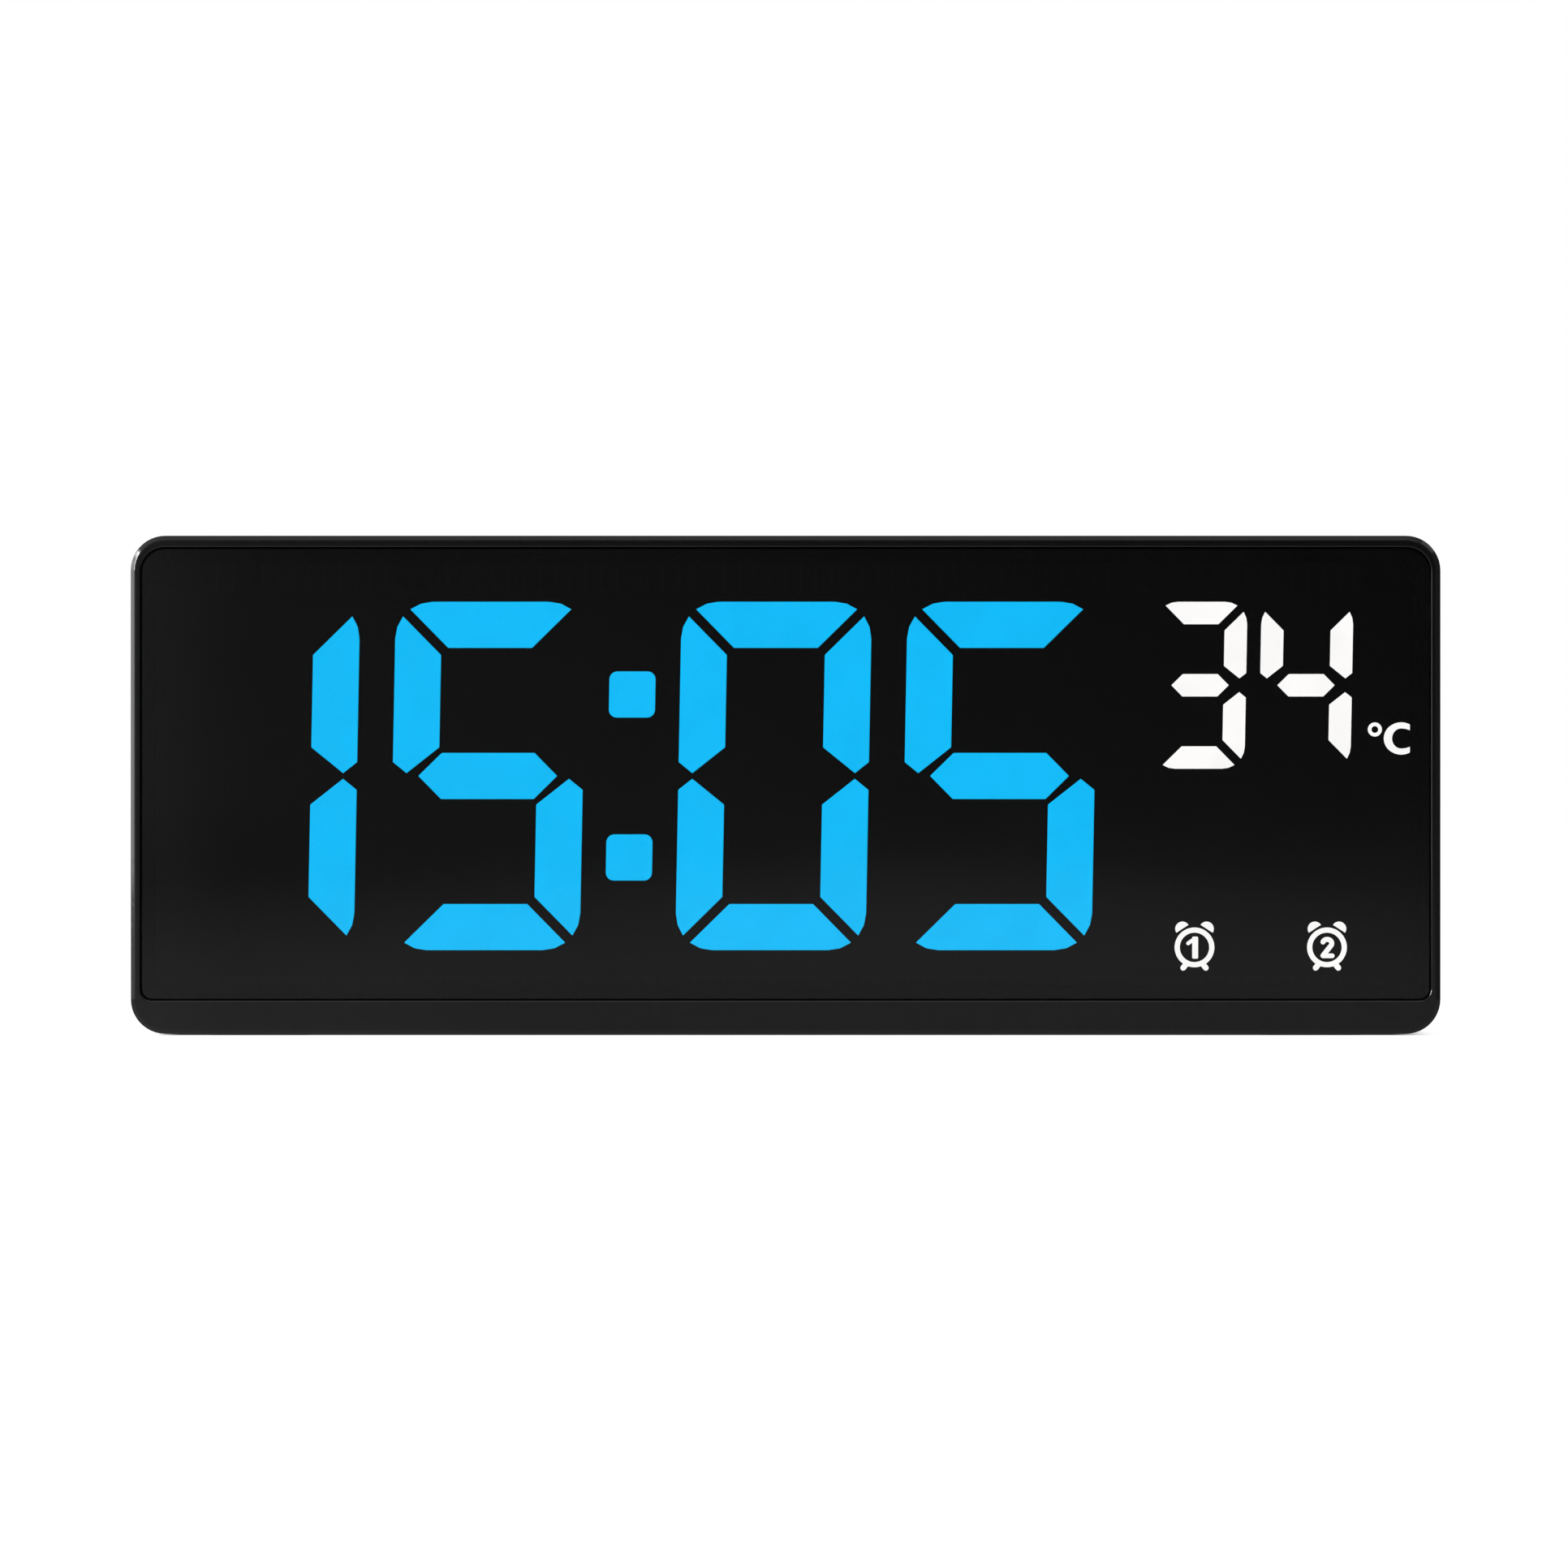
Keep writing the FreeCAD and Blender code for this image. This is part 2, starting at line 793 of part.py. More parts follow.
# The digits fill the width between the ledges: four large ones with the colon in their middle,
# two small ones and the degree sign. Their height is what the margins leave of the case's.
largeDigits = 4
viewWide = windowWide - S.ledgeWidth * 2
pairSpaces = S.digitsLeft + S.digitGap * 2 + S.colonGap + S.smallSpace
smallSpaces = S.smallWidth * 2 + S.smallBetween + S.degreeSpace + S.degreeWidth + S.degreeRight
digitWide = (viewWide - pairSpaces - smallSpaces) / largeDigits
digitTall = S.caseHeight - S.digitsAbove - S.digitsBelow
hourTens = S.digitsLeft + (digitWide - viewWide) / 2
hourUnits = hourTens + digitWide + S.digitGap
minuteTens = hourUnits + digitWide + S.colonGap
minuteUnits = minuteTens + digitWide + S.digitGap
colonAcross = (hourUnits + minuteTens) / 2
smallTens = minuteUnits + (digitWide + S.smallWidth) / 2 + S.smallSpace
smallUnits = smallTens + S.smallWidth + S.smallBetween
degreeAcross = smallUnits + (S.smallWidth + S.degreeWidth) / 2 + S.degreeSpace

bigLoops = segmentLoops(
    digitWide, digitTall, S.digitStroke, S.digitCorner, S.segmentGap, S.middleGap, S.tipInset
)
smallLoops = segmentLoops(
    S.smallWidth, S.smallHeight, S.smallStroke, S.smallCorner, S.smallGap, S.smallMiddleGap, S.smallTip
)
bigUp = caseTop - S.digitsAbove - digitTall / 2
smallUp = caseTop - S.digitsAbove - S.smallHeight / 2
digitPlaces = [
    ("hour_tens", hourTens, bigUp, bigLoops, "bc"),
    ("hour_units", hourUnits, bigUp, bigLoops, "afgcd"),
    ("minute_tens", minuteTens, bigUp, bigLoops, "abcdef"),
    ("minute_units", minuteUnits, bigUp, bigLoops, "afgcd"),
    ("temperature_tens", smallTens, smallUp, smallLoops, "abgcd"),
    ("temperature_units", smallUnits, smallUp, smallLoops, "fbgc"),
]

# The block that holds them stays clear of the screw posts above and below it, and the alarm
# signs stand on its lower edge, under the small digits.
blockTop = topPostUp - S.postRadius - S.blockGap
blockLow = bottomPostUp + S.postRadius + S.blockGap
blockWide = viewWide - S.blockSide * 2
signUp = blockLow + S.signEdge + S.signTall / 2
degreeUp = smallUp - S.smallHeight / 2 + S.degreeAbove
signPlaces = {
    "alarm_one_window": smallTens - S.signShift,
    "alarm_two_window": smallTens - S.signShift + S.signPitch,
}


def makeInserts():
    dark = []
    for name, across, up, loops, lit in digitPlaces:
        litLoops = [lean(loops[letter], across, up) for letter in lit]
        darkLoops = [lean(loop, across, up) for letter, loop in loops.items() if letter not in lit]
        keep(makeInsert(name + "_lit", litLoops))
        dark.append(makeInsert(name + "_dark", darkLoops))
    colon = []
    for sign in (-1, 1):
        dot = roundedBox(0, sign * S.colonSpread / 2, S.colonSize, S.colonSize, S.colonCorner)
        colon.append(lean(dot, colonAcross, bigUp))
    keep(makeInsert("colon_lit", colon))
    for name, across in signPlaces.items():
        keep(makeInsert(name, [sharpBox(across, signUp, S.signWide, S.signTall)]))
    degree = sharpBox(degreeAcross, degreeUp, S.degreeWidth, S.degreeHeight)
    keep(makeInsert("degree_window", [degree]))
    group = doc.addObject("Part::Compound", "dark_segments")
    group.Links = dark
    keep(group)


def makeBlock():
    """The light box: one block with a cavity through it for every segment, and the black film
    with the same openings on its front."""
    tools = doc.addObject("Part::Compound", "all_cavities")
    tools.Links = cavityTools
    blockUp = (blockTop + blockLow) / 2
    for name, start, thick in (
        ("reflector_block", blockFront, S.blockDepth),
        ("display_film", filmFront, S.filmThick),
    ):
        body = newBody(name + "_blank")
        sketch = frontSketch(body, start)
        drawLoop(sketch, roundedBox(0, blockUp, blockWide, blockTop - blockLow, S.blockCorner))
        pad(body, sketch, thick, back=True)
        cut = doc.addObject("Part::Cut", name)
        cut.Base = body
        cut.Tool = tools
        keep(cut)


# The display board and what it carries.

boardWide = innerWide - S.boardEdge * 2
boardTall = innerTall - S.boardEdge * 2
notchWide = (innerWide / 2 - caseScrewAcross) + S.postRadius + S.notchGap
notchTop = S.screwInsetTop - S.wall + S.postRadius + S.notchGap
notchBottom = S.screwInsetBottom - S.wall + S.postRadius + S.notchGap


def makeDisplayBoard():
    body = newBody("display_board")
    sketch = frontSketch(body, boardFront)
    drawLoop(sketch, sharpBox(0, middleUp, boardWide, boardTall))
    pad(body, sketch, S.boardThick, back=True)
    sketch = frontSketch(body, boardFront)
    for sign in (-1, 1):
        x = sign * (innerWide / 2 - notchWide / 2)
        drawLoop(sketch, sharpBox(x, caseTop - S.wall - notchTop / 2, notchWide, notchTop))
        drawLoop(sketch, sharpBox(x, caseBottom + S.wall + notchBottom / 2, notchWide, notchBottom))
    pocket(body, sketch, S.boardThick)
    sketch = frontSketch(body, boardFront)
    for x, z in postPlaces(boardScrewAcross):
        drawPeg(sketch, x, z, S.screwRadius + S.fitGap)
    pocket(body, sketch, S.boardThick)
    keep(body)


def chip(name, x, y, z, long, deep, tall):
    """A small box, centred on x and z, whose front is at y."""
    box = doc.addObject("Part::Box", name)
    box.setExpression("Length", textOf(long))
    box.setExpression("Width", textOf(deep))
    box.setExpression("Height", textOf(tall))
    corner = (x - long / 2, y, z - tall / 2)
    for axis, value in zip("xyz", corner):
        box.setExpression("Placement.Base." + axis, value.text)
    return box


def segmentCentres(wide, tall, stroke):
    """Where the light sources of each segment sit, and whether the segment stands upright."""
    w = wide / 2 - stroke / 2
    h = tall / 2 - stroke / 2
    return {
        "a": (0, h, False),
        "b": (w, h / 2, True),
        "c": (w, -h / 2, True),
        "d": (0, -h, False),
        "e": (-w, -h / 2, True),
        "f": (-w, h / 2, True),
        "g": (0, 0, False),
    }


chipSpreadShare = 0.125


def makeLedChips():
    """Two light sources behind each large segment, one behind each small one and each sign."""
    chips = []
    big = segmentCentres(digitWide, digitTall, S.digitStroke)
    small = segmentCentres(S.smallWidth, S.smallHeight, S.smallStroke)
    bigY = boardFront - S.chipTall
    smallY = boardFront - S.smallChipTall
    for name, across, up, loops, lit in digitPlaces:
        large = loops is bigLoops
        for x, z, upright in (big if large else small).values():
            if large:
                for sign in (-1, 1):
                    step = sign * digitWide * chipSpreadShare
                    spot = (x, z + step) if upright else (x + step, z)
                    place = (across + spot[0] + spot[1] * S.leanShare, bigY, up + spot[1])
                    chips.append(chip("led", *place, S.chipWide, S.chipTall, S.chipLong))
            else:
                place = (across + x + z * S.leanShare, smallY, up + z)
                chips.append(chip("led", *place, S.smallChipWide, S.smallChipTall, S.smallChipLong))
    for sign in (-1, 1):
        z = sign * S.colonSpread / 2
        place = (colonAcross + z * S.leanShare, bigY, bigUp + z)
        chips.append(chip("led", *place, S.chipWide, S.chipTall, S.chipLong))
    for across in signPlaces.values():
        place = (across, bigY, signUp)
        chips.append(chip("led", *place, S.chipWide, S.chipTall, S.chipLong))
    place = (degreeAcross, bigY, degreeUp)
    chips.append(chip("led", *place, S.chipWide, S.chipTall, S.chipLong))
    group = doc.addObject("Part::Compound", "led_chips")
    group.Links = chips
    keep(group)


# The electronic parts stand in a row on the back of the board, left of the cable's socket.
partsUp = caseTop - S.partsBelow


def makeBoardParts():
    for name, shift, long, wide in (
        ("clock_chip", S.clockShift, S.clockChipSide, S.clockChipSide),
        ("driver_chip", S.driverShift, S.driverLong, S.driverWide),
        ("crystal", S.crystalShift, S.crystalLong, S.crystalWide),
    ):
        keep(chip(name, cableAcross - shift, boardBack, partsUp, long, S.bodyTall, wide))
    capacitors = []
    for step in range(capacitorCount):
        x = cableAcross - S.capacitorShift + S.capacitorPitch * step
        capacitors.append(
            chip("capacitor", x, boardBack, partsUp, S.capacitorWide, S.bodyTall, S.capacitorLong)
        )
    group = doc.addObject("Part::Compound", "capacitors")
    group.Links = capacitors
    keep(group)


capacitorCount = 3


def makeScrew(label, long):
    """A screw along Z with its head on top: its shank ends at -long. Both have few sides."""
    body = newBody(label)
    sketch = newSketch(body, "XY_Plane", None)
    drawPeg(sketch, 0, 0, S.screwRadius)
    pad(body, sketch, long, back=True)
    sketch = newSketch(body, "XY_Plane", None)
    drawPeg(sketch, 0, 0, S.headRadius)
    pad(body, sketch, S.headTall)
    return body


def makeScrews(label, places, headY, long):
    """Screws that point to the front, with their heads against headY."""
    parts = []
    for x, z in places:
        body = makeScrew(label + "_one", long)
        where = "vector(%s; %s; %s)" % (x.text, headY.text, z.text)
        body.setExpression("Placement", "placement(%s; rotation(vector(1; 0; 0); -90))" % where)
        parts.append(body)
    group = doc.addObject("Part::Compound", label)
    group.Links = parts
    keep(group)


# The rear cover: a wedge with a heel, its battery bay, screw posts and openings.

bayLong = S.cellLong + S.springSpace + S.plateSpace
cellStep = S.cellRadius * 2 + S.cellGap
cellCount = 3
bayTall = cellStep * cellCount
bayDeep = S.cellRadius * 2 + S.cellGap
bayMiddle = S.bayUp + S.doorLip + bayTall / 2
doorInner = -S.doorThick
bayFloor = doorInner - bayDeep
cellOut = bayFloor + S.cellRadius + S.fitGap
topWallSpan = (caseTop - S.wall - heelUp + S.wall * slopeSin) / slopeCos


def sideProfile():
    """The cover's side view: the flat base, the upright heel and the sloping back, which a
    wide arc joins."""
    tangent = S.heelRound * ((1 - slopeCos) / slopeSin)
    return [
        (seamY, caseBottom),
        (backY, caseBottom),
        (backY, heelUp - tangent, S.heelRound),
        (slopeY(tangent, 0), slopeZ(tangent, 0)),
        (slopeY(slopeLong, 0), caseTop),
        (seamY, caseTop),
    ]


def innerProfile():
    tangent = (S.heelRound - S.wall) * ((1 - slopeCos) / slopeSin)
    crease = S.wall * ((1 - slopeCos) / slopeSin)
    return [
        (seamY - S.cutOver, caseBottom + S.wall),
        (backY - S.wall, caseBottom + S.wall),
        (backY - S.wall, heelUp - crease - tangent, S.heelRound - S.wall),
        (slopeY(tangent, -S.wall), slopeZ(tangent, -S.wall)),
        (slopeY(topWallSpan, -S.wall), caseTop - S.wall),
        (seamY - S.cutOver, caseTop - S.wall),
    ]


def makeRearCover():
    body = newBody("rear_cover")
    sketch = newSketch(body, "YZ_Plane", None)
    drawLoop(sketch, sideProfile())
    pad(body, sketch, S.caseWidth, both=True)
    roundEdges(
        body,
        "Fillet",
        S.caseCorner,
        lambda edge, middle: straightAlong(edge, alongY) and onOutline(middle),
    )
    roundEdges(
        body,
        "Chamfer",
        S.backEdge,
        lambda edge, middle: middle.y > 0 and atBack(edge) and onOutline(middle),
    )
    roundEdges(
        body,
        "Chamfer",
        S.seamGroove,
        lambda edge, middle: near(middle.y, seamY) and onOutline(middle),
    )
    sketch = newSketch(body, "YZ_Plane", None)
    drawLoop(sketch, innerProfile())
    pocket(body, sketch, innerWide, both=True)
    addLip(body)
    addPosts(body)
    addBay(body)
    addOpenings(body)
    cutFootSeats(body, backFootY)
    keep(body)


def atBack(edge):
    """True for an edge of the heel or of the sloping back, not one along the base or the top."""
    ends = (edge.FirstParameter, edge.LastParameter)
    return all(backReach(edge.valueAt(end)) < closeEnough for end in ends)


def backReach(point):
    """How far a point lies inside the heel or the slope, whichever is nearer."""
    out = (point.y - backY.value) * slopeCos.value + (point.z - heelUp.value) * slopeSin.value
    arcSlack = S.heelRound.value * (1 - slopeCos.value)
    return min(abs(point.y - backY.value), max(abs(out) - arcSlack, 0))


def addLip(body):
    """The tongue that enters the front case, on a root ring inside the cover."""
    lipWide = innerWide - S.fitGap * 2
    lipTall = innerTall - S.fitGap * 2
    rootInner = (lipWide - S.lipThick * 2, lipTall - S.lipThick * 2)
    for outer, start, long in (
        ((innerWide + S.wall, innerTall + S.wall), seamY, S.lipLong),
        ((lipWide, lipTall), seamY - S.lipLong, S.lipLong * 2),
    ):
        sketch = frontSketch(body, start)
        drawLoop(sketch, roundedBox(0, middleUp, *outer, innerCorner))
        drawLoop(sketch, roundedBox(0, middleUp, *rootInner, innerCorner))
        pad(body, sketch, long, back=True)


def addPosts(body):
    """Four screw posts: slim noses that meet those of the front case, then wide tubes for the
    screw heads, which end inside the wall behind them."""
    radius = S.headRadius + S.headGap + S.postWall
    sketch = frontSketch(body, postEnd)
    for x, z in postPlaces(caseScrewAcross):
        drawPeg(sketch, x, z, S.postRadius)
    pad(body, sketch, seamY - postEnd, back=True)
    slopeUp = (topPostUp - heelUp) / slopeCos
    ends = {
        topPostUp: slopeY(slopeUp, 0) - S.wall / 2,
        bottomPostUp: backY - S.wall / 2,
    }
    for z, end in ends.items():
        sketch = frontSketch(body, seamY)
        for sign in (-1, 1):
            drawPeg(sketch, sign * caseScrewAcross, z, radius)
        pad(body, sketch, end - seamY, back=True)
    sketch = frontSketch(body, backY + S.cutOver)
    for x, z in postPlaces(caseScrewAcross):
        drawPeg(sketch, x, z, S.headRadius + S.headGap)
    pocket(body, sketch, backY + S.cutOver - screwHeadY, back=True)
    sketch = frontSketch(body, backY + S.cutOver)
    for x, z in postPlaces(caseScrewAcross):
        drawPeg(sketch, x, z, S.screwRadius + S.fitGap)
    pocket(body, sketch, backY + S.cutOver * 2 - postEnd, back=True)


def addBay(body):
    outer = slopeSketch(body, -S.wall / 2)
    drawLoop(outer, sharpBox(0, bayMiddle, bayLong + S.bayWall * 2, bayTall + S.bayWall * 2))
    pad(body, outer, S.bayWall - S.wall / 2 - bayFloor, back=True)
    seat = slopeSketch(body, 0)
    drawLoop(seat, roundedBox(0, bayMiddle, doorLong + S.doorGap * 2, doorTall + S.doorGap * 2, S.doorCorner))
    pocket(body, seat, S.doorThick)
    cavity = slopeSketch(body, 0)
    drawLoop(cavity, sharpBox(0, bayMiddle, bayLong, bayTall))
    pocket(body, cavity, -bayFloor)


doorLong = bayLong + S.doorLip * 2 - S.doorGap * 2
doorTall = bayTall + S.doorLip * 2 - S.doorGap * 2
buttonPlaces = [(name, S.buttonPitch * (i - middleButton)) for i, name in enumerate(buttonNames)]
boardOut = -(S.wall + S.fitGap + S.flangeThick + S.plungerTall + S.switchTall)


def addOpenings(body):
    """Holes for the buttons, the inlet, the sounder and the sensor, and the small posts that
    carry the boards behind them."""
    sketch = slopeSketch(body, S.cutOver)
    long = S.buttonLong + S.buttonGap * 2
    wide = S.buttonWide + S.buttonGap * 2
    for name, across in buttonPlaces:
        drawLoop(sketch, slotLoop(across, buttonUp, long, wide))
    pocket(body, sketch, S.wall + S.cutOver * 2)
    sketch = slopeSketch(body, S.cutOver)
    hole = S.inletWide + S.buttonGap * 2
    drawLoop(sketch, slotLoop(inletAcross, S.inletUp, S.inletLong + S.buttonGap * 2, hole))
    pocket(body, sketch, S.wall + S.cutOver * 2)
    sketch = slopeSketch(body, S.cutOver)
    drawPeg(sketch, -inletAcross, S.sounderUp, S.sounderHole)
    for step in range(sounderHoles):
        turn = 2 * math.pi * step / sounderHoles
        x = S.sounderRing * math.cos(turn) - inletAcross
        drawPeg(sketch, x, S.sounderUp + S.sounderRing * math.sin(turn), S.sounderHole)
    pocket(body, sketch, S.wall + S.cutOver * 2)
    sketch = slopeSketch(body, S.cutOver)
    for step in (-1, 0, 1):
        up = S.sensorUp + S.ventPitch * step
        drawLoop(sketch, slotLoop(-inletAcross, up, S.ventLong, S.ventWide))
    pocket(body, sketch, S.wall + S.cutOver * 2)
    ring = slopeSketch(body, -S.wall / 2)
    drawPeg(ring, -inletAcross, S.sounderUp, S.sounderRadius + S.fitGap + S.ringWall)
    drawCircle(ring, -inletAcross, S.sounderUp, S.sounderRadius + S.fitGap)
    pad(body, ring, S.sounderTall + S.wall / 2, back=True)
    for places, end in ((buttonBoardScrews, boardOut), (inletBoardScrews, inletBoardOut)):
        for feature, radius, start in (
            (pad, S.smallPostRadius, -S.wall / 2),
            (pocket, pilotRadius, end),
        ):
            sketch = slopeSketch(body, start if feature is pad else end)
            for x, up in places:
                drawPeg(sketch, x, up, radius)
            if feature is pad:
                pad(body, sketch, -end - S.wall / 2, back=True)
            else:
                pocket(body, sketch, S.smallPilotDeep, back=True)


def slotLoop(x, y, long, wide):
    """A slot whose two round ends are each drawn with a few flat sides."""
    radius = wide / 2
    corners = []
    for side in (1, -1):
        for step in range(endSides + 1):
            turn = math.pi * (step / endSides - 0.5)
            along = long / 2 - radius + radius * math.cos(turn)
            corners.append((x + side * along, y + side * radius * math.sin(turn)))
    return corners


endSides = 7
sounderHoles = 6
buttonBoardLong = (buttonScrewAcross + S.boardScrewEdge) * 2
buttonBoardScrews = [(sign * buttonScrewAcross, buttonUp) for sign in (-1, 1)]
inletBoardOut = -(S.inletDeep + S.inletSink)
inletBoardScrews = [(inletAcross + sign * S.inletScrewAcross, S.inletUp) for sign in (-1, 1)]


# Pieces on the sloping back, drawn flat with Z outwards and then placed on the slope.


def makeButtons():
    """Each cap stands in its hole and is held by a flange inside the wall. Its plunger moves
    with it and enters the switch body behind."""
    capInner = -(S.wall + S.fitGap + S.flangeThick)
    switchTop = capInner - S.plungerTall
    switches = []
    for name, across in buttonPlaces:
        body = newBody(name)
        sketch = newSketch(body, "XY_Plane", capInner)
        flangeLong = S.buttonLong + S.buttonFlange * 2
        flangeWide = S.buttonWide + S.buttonFlange * 2
        drawLoop(sketch, sharpBox(0, 0, flangeLong, flangeWide))
        pad(body, sketch, S.flangeThick)
        sketch = newSketch(body, "XY_Plane", capInner)
        drawLoop(sketch, slotLoop(0, 0, S.buttonLong, S.buttonWide))
        pad(body, sketch, S.buttonProud - capInner)
        roundEdges(body, "Chamfer", S.buttonBevel, lambda edge, middle: near(middle.z, S.buttonProud))
        placeOnSlope(body, across, buttonUp, 0)
        keep(body)
        plunger = newBody(name.replace("button", "plunger"))
        sketch = newSketch(plunger, "XY_Plane", None)
        drawPeg(sketch, 0, 0, S.plungerRadius)
        pad(plunger, sketch, S.plungerTall + S.plungerSeat)
        placeOnSlope(plunger, across, buttonUp, switchTop - S.plungerSeat)
        keep(plunger)
        switch = newBody("switch_body")
        sketch = newSketch(switch, "XY_Plane", None)
        drawLoop(sketch, sharpBox(0, 0, S.switchSide, S.switchSide))
        pad(switch, sketch, S.switchTall)
        sketch = newSketch(switch, "XY_Plane", S.switchTall)
        drawPeg(sketch, 0, 0, S.plungerRadius + S.plungerGap)
        pocket(switch, sketch, S.plungerSeat + S.buttonTravel + S.fitGap)
        placeOnSlope(switch, across, buttonUp, boardOut)
        switches.append(switch)
    group = doc.addObject("Part::Compound", "tact_switches")
    group.Links = switches
    keep(group)


def makeSlopeBoard(label, out, long, wide, middle, screws):
    """A small board behind the sloping back, with its screw holes."""
    body = newBody(label)
    sketch = newSketch(body, "XY_Plane", None)
    drawLoop(sketch, sharpBox(0, 0, long, wide))
    pad(body, sketch, S.rearBoardThick)
    sketch = newSketch(body, "XY_Plane", S.rearBoardThick)
    for x, up in screws:
        drawPeg(sketch, x - middle[0], up - middle[1], S.screwRadius + S.fitGap)
    pocket(body, sketch, S.rearBoardThick)
    placeOnSlope(body, -middle[0], middle[1], out - S.rearBoardThick)
    keep(body)


def makeSlopeScrews():
    """Short screws that hold the two small boards to their posts, heads to the front."""
    parts = []
    for places, out in ((buttonBoardScrews, boardOut), (inletBoardScrews, inletBoardOut)):
        for x, up in places:
            body = makeScrew("slope_screw", S.smallPilotDeep)
            placeOnSlope(body, -x, up, out - S.rearBoardThick, over=True)
            parts.append(body)
    group = doc.addObject("Part::Compound", "rear_board_screws")
    group.Links = parts
    keep(group)


def makeInlet():
    """A small USB socket that faces out through the back: a drawn shell, closed behind, with a
    tongue in its middle."""
    body = newBody("usb_socket")
    sketch = newSketch(body, "XY_Plane", None)
    drawLoop(sketch, slotLoop(0, 0, S.inletLong, S.inletWide))
    pad(body, sketch, S.inletDeep)
    sketch = newSketch(body, "XY_Plane", S.inletDeep)
    inner = S.inletWide - S.inletShell * 2
    drawLoop(sketch, slotLoop(0, 0, S.inletLong - S.inletShell * 2, inner))
    pocket(body, sketch, S.inletDeep - S.inletSink)
    sketch = newSketch(body, "XY_Plane", None)
    drawLoop(sketch, sharpBox(0, 0, S.inletLong - inner, S.inletTongue))
    pad(body, sketch, S.inletDeep - S.inletSink)
    placeOnSlope(body, -inletAcross, S.inletUp, inletBoardOut)
    keep(body)
    makeSlopeBoard(
        "inlet_board",
        inletBoardOut,
        S.inletBoardLong,
        S.inletBoardWide,
        (inletAcross, S.inletUp),
        inletBoardScrews,
    )


def ribbonSide(points, bend, shift):
    """One side of a flat cable in Y and Z: the route through the points, with an arc at each
    corner, moved sideways by shift. Gives the edges and both ends."""
    path = [Vector(0, plain(y), plain(z)) for y, z in points]
    radius = plain(bend)
    edges = []
    last = first = path[0] + sideways(path[0], path[1]) * shift
    for before, corner, after in zip(path, path[1:], path[2:]):
        back = (before - corner).normalize()
        ahead = (after - corner).normalize()
        half = back.getAngle(ahead) / 2
        centre = corner + (back + ahead).normalize() * (radius / math.sin(half))
        trim = radius / math.tan(half)
        start = corner + back * trim + sideways(before, corner) * shift
        end = corner + ahead * trim + sideways(corner, after) * shift
        middle = centre + (corner - centre).normalize() * (start - centre).Length
        edges.append(Part.LineSegment(last, start).toShape())
        edges.append(Part.Arc(start, middle, end).toShape())
        last = end
    end = path[-1] + sideways(path[-2], path[-1]) * shift
    edges.append(Part.LineSegment(last, end).toShape())
    return edges, first, end


def sideways(start, end):
    return Vector(1, 0, 0).cross((end - start).normalize())


cableBendShare = 0.36


def makeCables():
    """Flat cables that bend over from the display board to the two boards behind it, and the
    socket at each end."""
    sockets = []
    for label, across, up, topZ, rise, out in (
        (
            "button_cable",
            cableAcross,
            buttonUp,
            caseTop - S.buttonCableDrop,
            S.buttonCableRise,
            boardOut,
        ),
        (
            "inlet_cable",
            -inletAcross,
            S.inletUp,
            S.inletUp + S.inletCableAbove + S.inletCableRise,
            S.inletCableRise,
            inletBoardOut,
        ),
    ):
        long, wide, tall = S.cableSocketLong, S.cableSocketWide, S.bodyTall
        startZ = topZ - rise
        sockets.append(chip("cable_socket", across, boardBack, startZ, long, tall, wide))
        mate = doc.addObject("Part::Box", "cable_socket")
        mate.setExpression("Length", long.text)
        mate.setExpression("Width", wide.text)
        mate.setExpression("Height", tall.text)
        inner = out - S.rearBoardThick - tall
        placeOnSlope(mate, across + long / 2, up - wide / 2, inner)
        sockets.append(mate)
        endUp = up + wide / 2
        endOut = inner + tall / 2
        climb = (topZ - slopeZ(endUp, endOut)) / slopeCos
        points = [
            (boardBack + tall / 2, startZ + wide / 2),
            (boardBack + tall / 2, topZ),
            (slopeY(endUp + climb, endOut), topZ),
            (slopeY(endUp, endOut), slopeZ(endUp, endOut)),
        ]
        bend = (points[2][0] - points[1][0]) * cableBendShare
        half = S.cableThick.value / 2
        inside, insideStart, insideEnd = ribbonSide(points, bend, half)
        outside, outsideStart, outsideEnd = ribbonSide(points, bend, -half)
        ends = [
            Part.LineSegment(insideStart, outsideStart).toShape(),
            Part.LineSegment(insideEnd, outsideEnd).toShape(),
        ]
        loop = Part.Wire(Part.__sortEdges__(inside + outside + ends))
        cable = doc.addObject("Part::Feature", label)
        cable.Shape = Part.Face(loop).extrude(Vector(S.cableWidth.value, 0, 0))
        cable.Placement = Placement(Vector(plain(across - S.cableWidth / 2), 0, 0), Rotation())
        keep(cable)
    group = doc.addObject("Part::Compound", "cable_sockets")
    group.Links = sockets
    keep(group)


def makeSounder():
    sounder = doc.addObject("Part::Cylinder", "sounder")
    sounder.setExpression("Radius", S.sounderRadius.text)
    sounder.setExpression("Height", S.sounderTall.text)
    placeOnSlope(sounder, inletAcross, S.sounderUp, -S.wall - S.sounderTall)
    keep(sounder)
    sensor = doc.addObject("Part::Cylinder", "temperature_sensor")
    sensor.setExpression("Radius", S.sensorRadius.text)
    sensor.setExpression("Height", S.sensorLong.text)
    placeOnSlope(sensor, inletAcross, S.sensorUp, -S.wall - S.sensorLong)
    keep(sensor)


